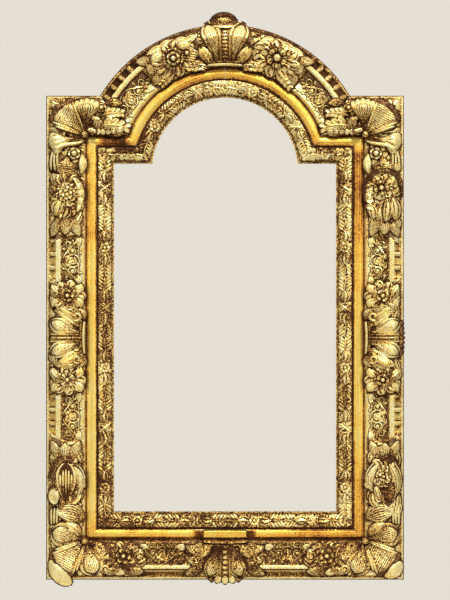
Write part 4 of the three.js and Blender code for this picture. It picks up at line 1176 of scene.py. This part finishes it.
def bandWear(x, z, reach):  # waves, brush marks and dull stretches of the plain band
    wear = patina["bandWaves"] * (drift(x, z, patina["bandWaveSize"], 11) - 0.5)
    bend = patina["brushSwing"] * drift(x, z, patina["brushBend"], 17)
    wear = wear + patina["brush"] * np.sin(patina["brushRate"] * reach + bend)
    onShoulder = between(z, shoulder + 14, shoulder + 22, shoulder + 42, shoulder + 46)
    dullCorner = between(x, -half - 27, -half - 14, -half + 16, -half + 28)
    brightCorner = fadeIn(x, half - 28, half - 16)
    wear = wear - onShoulder * (patina["shoulderDull"] * dullCorner - patina["shoulderGlow"] * brightCorner)
    upper = np.clip((z - shoulder + bothSides("upperStart", x)) / bothSides("upperFade", x), 0, 1)
    upper = upper * fadeOut(z, shoulder + 20, shoulder + 60)
    lower = fadeOut(z, sill + 40, sill + 110)
    foot = fadeOut(z, sill - 22, sill + 5)
    for share, key in ((upper, "upperDull"), (lower, "lowerDull"), (foot, "footDull")):
        wear = wear - share * bothSides(key, x)
    return wear - patina["archDull"] * fadeIn(z, shoulder + 46, shoulder + 70)


def sightWear(x, z, reach):  # patches of the sight moulding, which is smooth and dark beside the arch's foot
    flat = between(np.abs(x), 114, 124, half - 8, half + 4) * fadeIn(z, shoulder - 1, shoulder + 1)
    strip = np.interp(reach, [4, 6, 13, 15, 22, 23], [-0.3, 0.3, 0.3, -0.4, -0.4, 0])
    worn = np.interp(z, [sill - 15, sill + 25, shoulder - 20, shoulder + 60], [0.76, 0.62, 0.62, 0.36])
    patches = patina["patchy"] * (drift(x, z, patina["patchSize"], 9) - worn)
    return patches + flat * np.maximum(strip, bothSides("flatDark", x))


def bandShare(x, z):
    return between(reachOf(x, z), *section["band"])


def goldOf(c, points):
    x, z, height = points.T
    reach = reachOf(x, z)
    gold = np.concatenate(c.tones) + bandShare(x, z) * bandWear(x, z, reach)
    gold = gold + between(reach, *patina["sight"]) * sightWear(x, z, reach)
    # sunk points darken as grime and as painted shade, raised points are rubbed bright
    for key, rub, grimeAndShade in zip(("near", "wide"), patina["rub"], patina["grimeAndShade"]):
        above = np.clip(height - around[key][cellOf(points, mapLow)], -3, 3)
        gold = gold + np.where(above > 0, rub, grimeAndShade) * above
    return np.clip(0.5 + patina["contrast"] * (gold - 0.5), 0, 1)


print("patina map:", heights.shape)

# Finishes


class Value:  # a shader socket that takes part in Python sums
    def __init__(self, finish, socket):
        self.finish, self.socket = finish, socket

    def maths(self, operation, first, second):
        return self.finish.node("ShaderNodeMath", {"operation": operation}, {0: first, 1: second})

    def __add__(self, other):
        return self.maths("ADD", self, other)

    def __sub__(self, other):
        return self.maths("SUBTRACT", self, other)

    def __rsub__(self, other):
        return self.maths("SUBTRACT", other, self)

    def __mul__(self, other):
        return self.maths("MULTIPLY", self, other)

    __radd__ = __add__
    __rmul__ = __mul__


class Finish:  # a material or a world, built node by node
    def __init__(self, owner):
        self.owner = owner
        owner.use_nodes = True
        self.tree = owner.node_tree
        self.tree.nodes.clear()

    def node(self, kind, settings=None, inputs=None, output=0):
        made = self.tree.nodes.new(kind)
        for key, value in (settings or {}).items():
            if key == "stops":
                while len(made.color_ramp.elements) < len(value):
                    made.color_ramp.elements.new(0.5)
                for stop, (position, colour) in zip(made.color_ramp.elements, value):
                    stop.position, stop.color = position, colour
            else:
                setattr(made, key, value)
        for key, value in (inputs or {}).items():
            if isinstance(value, Value):
                self.tree.links.new(value.socket, made.inputs[key])
            else:
                made.inputs[key].default_value = value
        return Value(self, made.outputs[output]) if made.outputs else None

    def attribute(self, name):
        return self.node("ShaderNodeAttribute", {"attribute_name": name}, output=2)

    def noise(self, scale, detail=3.0, roughness=0.55, stretch=(1, 1, 1)):
        place = self.node("ShaderNodeTexCoord", output=3)
        stretched = self.node("ShaderNodeMapping", {}, {"Vector": place, "Scale": stretch})
        return self.node("ShaderNodeTexNoise", {}, {"Vector": stretched, "Scale": scale, "Detail": detail,
                                                    "Roughness": roughness})

    def ramp(self, value, stops):
        return self.node("ShaderNodeValToRGB", {"stops": stops}, {"Fac": value})

    def levels(self, value, stops):  # a ramp of greys
        return self.ramp(value, [(at, grey(level)) for at, level in stops])

    def mix(self, share, first, second, blend="MIX"):
        settings = {"data_type": "RGBA", "blend_type": blend}
        return self.node("ShaderNodeMix", settings, {0: share, 6: first, 7: second}, 2)

    def bump(self, strength, distance, height):
        return self.node("ShaderNodeBump", {}, {"Strength": strength, "Distance": distance, "Height": height})

    def surface(self, inputs):
        shader = self.node("ShaderNodeBsdfPrincipled", {}, inputs)
        self.node("ShaderNodeOutputMaterial", {}, {"Surface": shader})
        return self.owner


def shade(red, green, blue):  # a screen colour, 0 to 255, as the renderer wants it
    parts = [c / 255 for c in (red, green, blue)]
    return tuple(((c + 0.055) / 1.055) ** 2.4 if c > 0.04 else c / 12.92 for c in parts) + (1.0,)


def grey(value):
    return (value, value, value, 1.0)


gilding = {
    "stops": [(0.0, (54, 25, 8)), (0.13, (102, 59, 34)), (0.26, (164, 111, 72)), (0.4, (217, 163, 95)),
              (0.54, (246, 200, 107)), (0.68, (252, 224, 121)), (0.82, (255, 242, 154)),
              (1.0, (255, 251, 204))],
    "bole": (156, 70, 48), "boleShare": 0.7, "boleSize": 85.0, "sheen": (255, 218, 158),
    "mottle": 1.3, "grain": 600.0, "patches": 0.8, "patchSize": 38.0, "carvedGlow": 0.06,
    "crackle": 150.0, "crackleDepth": 1.0,
    "crackLines": [  # levels of the noise that the cracks follow
        (0.27, 0.33, 0.36, 0.41), (0.45, 0.49, 0.52, 0.56), (0.6, 0.64, 0.68, 0.73)],
    "amber": (255, 227, 146), "burnish": 0.8,
}


def giltFinish():
    f = Finish(bpy.data.materials.new("waterGilding"))
    gold = f.attribute("gold")
    fine = f.noise(gilding["grain"], 2.0, 0.6)
    patches = f.noise(gilding["patchSize"], 3.0, 0.6)
    band = f.attribute("band")
    lines = [stop for line in gilding["crackLines"] for stop in zip(line, (0.0, 1.0, 1.0, 0.0))]
    crackle = f.levels(f.noise(gilding["crackle"], 2.0, 0.5), lines) * (1 - band) * (1.45 - gold)
    speckle = (fine - 0.5) * gilding["mottle"] + (patches - 0.5) * gilding["patches"]
    wear = gold + gilding["carvedGlow"] * (1.0 - band) + speckle - crackle * gilding["crackleDepth"]
    colour = f.ramp(wear, [(at, shade(*c)) for at, c in gilding["stops"]])
    bole = f.levels(f.noise(gilding["boleSize"], 5.0, 0.7), [(0.56, 0.0), (0.68, 1.0)])
    middle = f.levels(wear, [(0.2, 0.0), (0.45, gilding["boleShare"]), (0.8, 0.0)])
    burnished = f.mix(band * gilding["burnish"], colour, shade(*gilding["amber"]), "MULTIPLY")
    return f.surface({
        "Base Color": f.mix(bole * middle, burnished, shade(*gilding["bole"])),
        "Metallic": f.levels(wear, [(0.1, 0.1), (0.5, 0.6), (0.8, 0.7)]),
        "Roughness": f.levels(wear, [(0.1, 0.75), (0.5, 0.5), (0.85, 0.38)]),
        "Normal": f.bump(0.5, 0.0008, fine - crackle * 0.5),
        "Specular Tint": shade(*gilding["sheen"]),
    })


timber = {
    "pine": ((96, 66, 40), (158, 116, 74)), "oak": ((104, 70, 38), (172, 128, 78)),  # dark and light grain
    "ring": 90.0, "soil": 9.0,
}


def timberFinish(name, stretch, wood):
    f = Finish(bpy.data.materials.new(name))
    dark, light = timber[wood]
    grain = f.noise(timber["ring"], 6.0, 0.6, stretch)
    soil = f.noise(timber["soil"], 3.0, 0.5)
    colour = f.ramp(grain * 0.7 + soil * 0.3, [(0.3, shade(*dark)), (0.7, shade(*light))])
    return f.surface({"Base Color": colour, "Roughness": 0.75, "Normal": f.bump(0.3, 0.0005, grain)})


metal = {  # tarnished and bright colour, and roughness
    "tarnishedBrass": ((112, 84, 42), (186, 148, 82), 0.3),
    "oldSteel": ((70, 66, 62), (130, 126, 120), 0.35),
    "tarnish": 260.0,
}


def metalFinish(name):
    f = Finish(bpy.data.materials.new(name))
    dark, light, roughness = metal[name]
    tarnish = f.noise(metal["tarnish"], 4.0, 0.6)
    colour = f.ramp(tarnish, [(0.35, shade(*dark)), (0.65, shade(*light))])
    rough = f.levels(tarnish, [(0.3, roughness + 0.2), (0.7, roughness)])
    return f.surface({"Base Color": colour, "Metallic": 1.0, "Roughness": rough})


gilt = giltFinish()
timberAlong = {
    "x": timberFinish("timberAcross", (0.06, 1, 1), "pine"),
    "z": timberFinish("timberUpright", (1, 1, 0.06), "pine"),
}
oak = timberFinish("oakKey", (0.2, 1, 0.2), "oak")
brass = metalFinish("tarnishedBrass")
steel = metalFinish("oldSteel")
print("finishes made")

# Pieces

sharpAngle = 50.0  # degrees, above which an edge stays sharp


def placed(name, data):
    thing = bpy.data.objects.new(name, data)
    bpy.context.scene.collection.objects.link(thing)
    return thing


def makePiece(name, c, replaced=()):
    points = np.concatenate(c.points)
    x, z, height = points.T
    mesh = bpy.data.meshes.new(name)
    mesh.from_pydata((np.stack([x, -height, z], -1) * mm).tolist(), [], c.faces)
    mesh.shade_smooth()
    mesh.set_sharp_from_angle(angle=math.radians(sharpAngle))
    for attribute, values in (("gold", goldOf(c, points)), ("band", bandShare(x, z))):
        mesh.attributes.new(attribute, "FLOAT", "POINT").data.foreach_set("value", values.astype(np.float32))
    mesh.materials.append(gilt)
    piece = placed(name, mesh)
    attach(piece, "frame")
    if replaced:
        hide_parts(*replaced)


for name, c in carvings.items():
    if name in memberKinds:
        makePiece(f"gilding_{name}", c)
    elif name in slipKinds:
        makePiece(f"gilding_{name}", c)
    else:
        makePiece(f"carved_{name}", c, (name,))


def finishOf(node):
    if node.startswith("key_"):
        return oak
    if "screw" in node:
        return steel
    if node.startswith(("turn_button", "hanger")):
        return brass
    return timberAlong["z" if "stile" in node or node in ("slip_left", "slip_right") else "x"]


for name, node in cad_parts.items():
    node.data.materials.clear()
    node.data.materials.append(finishOf(name))
print("pieces made:", len(carvings))

# Stage: a pale floor below the hanging frame, a cream studio, soft lamps and the camera

stage = {
    "backdrop": (229, 223, 212), "sky": (248, 246, 242), "skyLight": 0.6, "lowLight": 0.08, "lowMirror": 0.12,
    "floorZ": -0.22, "floorRadius": 1.1, "floorColours": ((226, 221, 213), (236, 231, 224)),
    "distance": 4.0, "viewHeight": 0.9, "sensor": 36.0, "aimZ": 0.3885, "frontY": -0.03,
    "lamps": [  # place, size, power
        ((0.35, -1.4, 2.2), 0.35, 45.0),
        ((1.7, -1.8, 0.9), 1.0, 7.0),
        ((-1.7, -1.8, 0.9), 1.0, 6.0),
    ],
}


def studioWorld():
    world = bpy.data.worlds.new("studio")
    bpy.context.scene.world = world
    f = Finish(world)
    paths = ("Is Camera Ray", "Is Glossy Ray", "Is Transmission Ray")
    camera, glossy, through = [f.node("ShaderNodeLightPath", output=path) for path in paths]
    seen = f.node("ShaderNodeMath", {"operation": "ADD", "use_clamp": True}, {0: camera + glossy, 1: through})
    direction = f.node("ShaderNodeTexCoord", output="Generated")
    height = f.node("ShaderNodeSeparateXYZ", {}, {0: direction}, 2) * 0.5 + 0.5
    level = f.levels(height, [(0.3, stage["lowLight"]), (0.75, stage["skyLight"])])
    mirror = f.levels(height, [(0.36, stage["lowMirror"]), (0.64, 1.0)])
    light = f.node("ShaderNodeBackground", {}, {"Color": shade(*stage["sky"]), "Strength": level})
    strength = camera + (1 - camera) * mirror
    backdrop = f.node("ShaderNodeBackground", {}, {"Color": shade(*stage["backdrop"]), "Strength": strength})
    both = f.node("ShaderNodeMixShader", {}, {0: seen, 1: light, 2: backdrop})
    f.node("ShaderNodeOutputWorld", {}, {"Surface": both})


def paleFloor(count=96):
    radius = stage["floorRadius"]
    angles = [2 * math.pi * k / count for k in range(count)]
    ring = [(radius * math.cos(angle), radius * math.sin(angle), stage["floorZ"]) for angle in angles]
    mesh = bpy.data.meshes.new("floor")
    mesh.from_pydata(ring, [], [list(range(count))])
    f = Finish(bpy.data.materials.new("paleFloor"))
    colours = [shade(*colour) for colour in stage["floorColours"]]
    f.surface({"Base Color": f.mix(f.noise(60.0, 2.0), *colours), "Roughness": 0.8})
    mesh.materials.append(f.owner)
    placed("floor", mesh)


def aimAt(thing, target):
    thing.rotation_euler = (target - thing.location).to_track_quat("-Z", "Y").to_euler()


def lampsAndCamera():
    target = Vector((0, stage["frontY"], stage["aimZ"]))
    for k, (place, size, power) in enumerate(stage["lamps"]):
        data = bpy.data.lights.new(f"softbox{k}", "AREA")
        data.size, data.energy = size, power
        lamp = placed(f"softbox{k}", data)
        lamp.location = place
        aimAt(lamp, target)
    data = bpy.data.cameras.new("camera")
    data.sensor_fit = "VERTICAL"
    data.sensor_height = stage["sensor"]
    data.lens = stage["sensor"] * stage["distance"] / stage["viewHeight"]
    camera = placed("camera", data)
    camera.location = (0, stage["frontY"] - stage["distance"], stage["aimZ"])
    aimAt(camera, target)
    bpy.context.scene.camera = camera


studioWorld()
paleFloor()
lampsAndCamera()
bpy.context.scene.view_settings.view_transform = "Standard"
print("stage set")
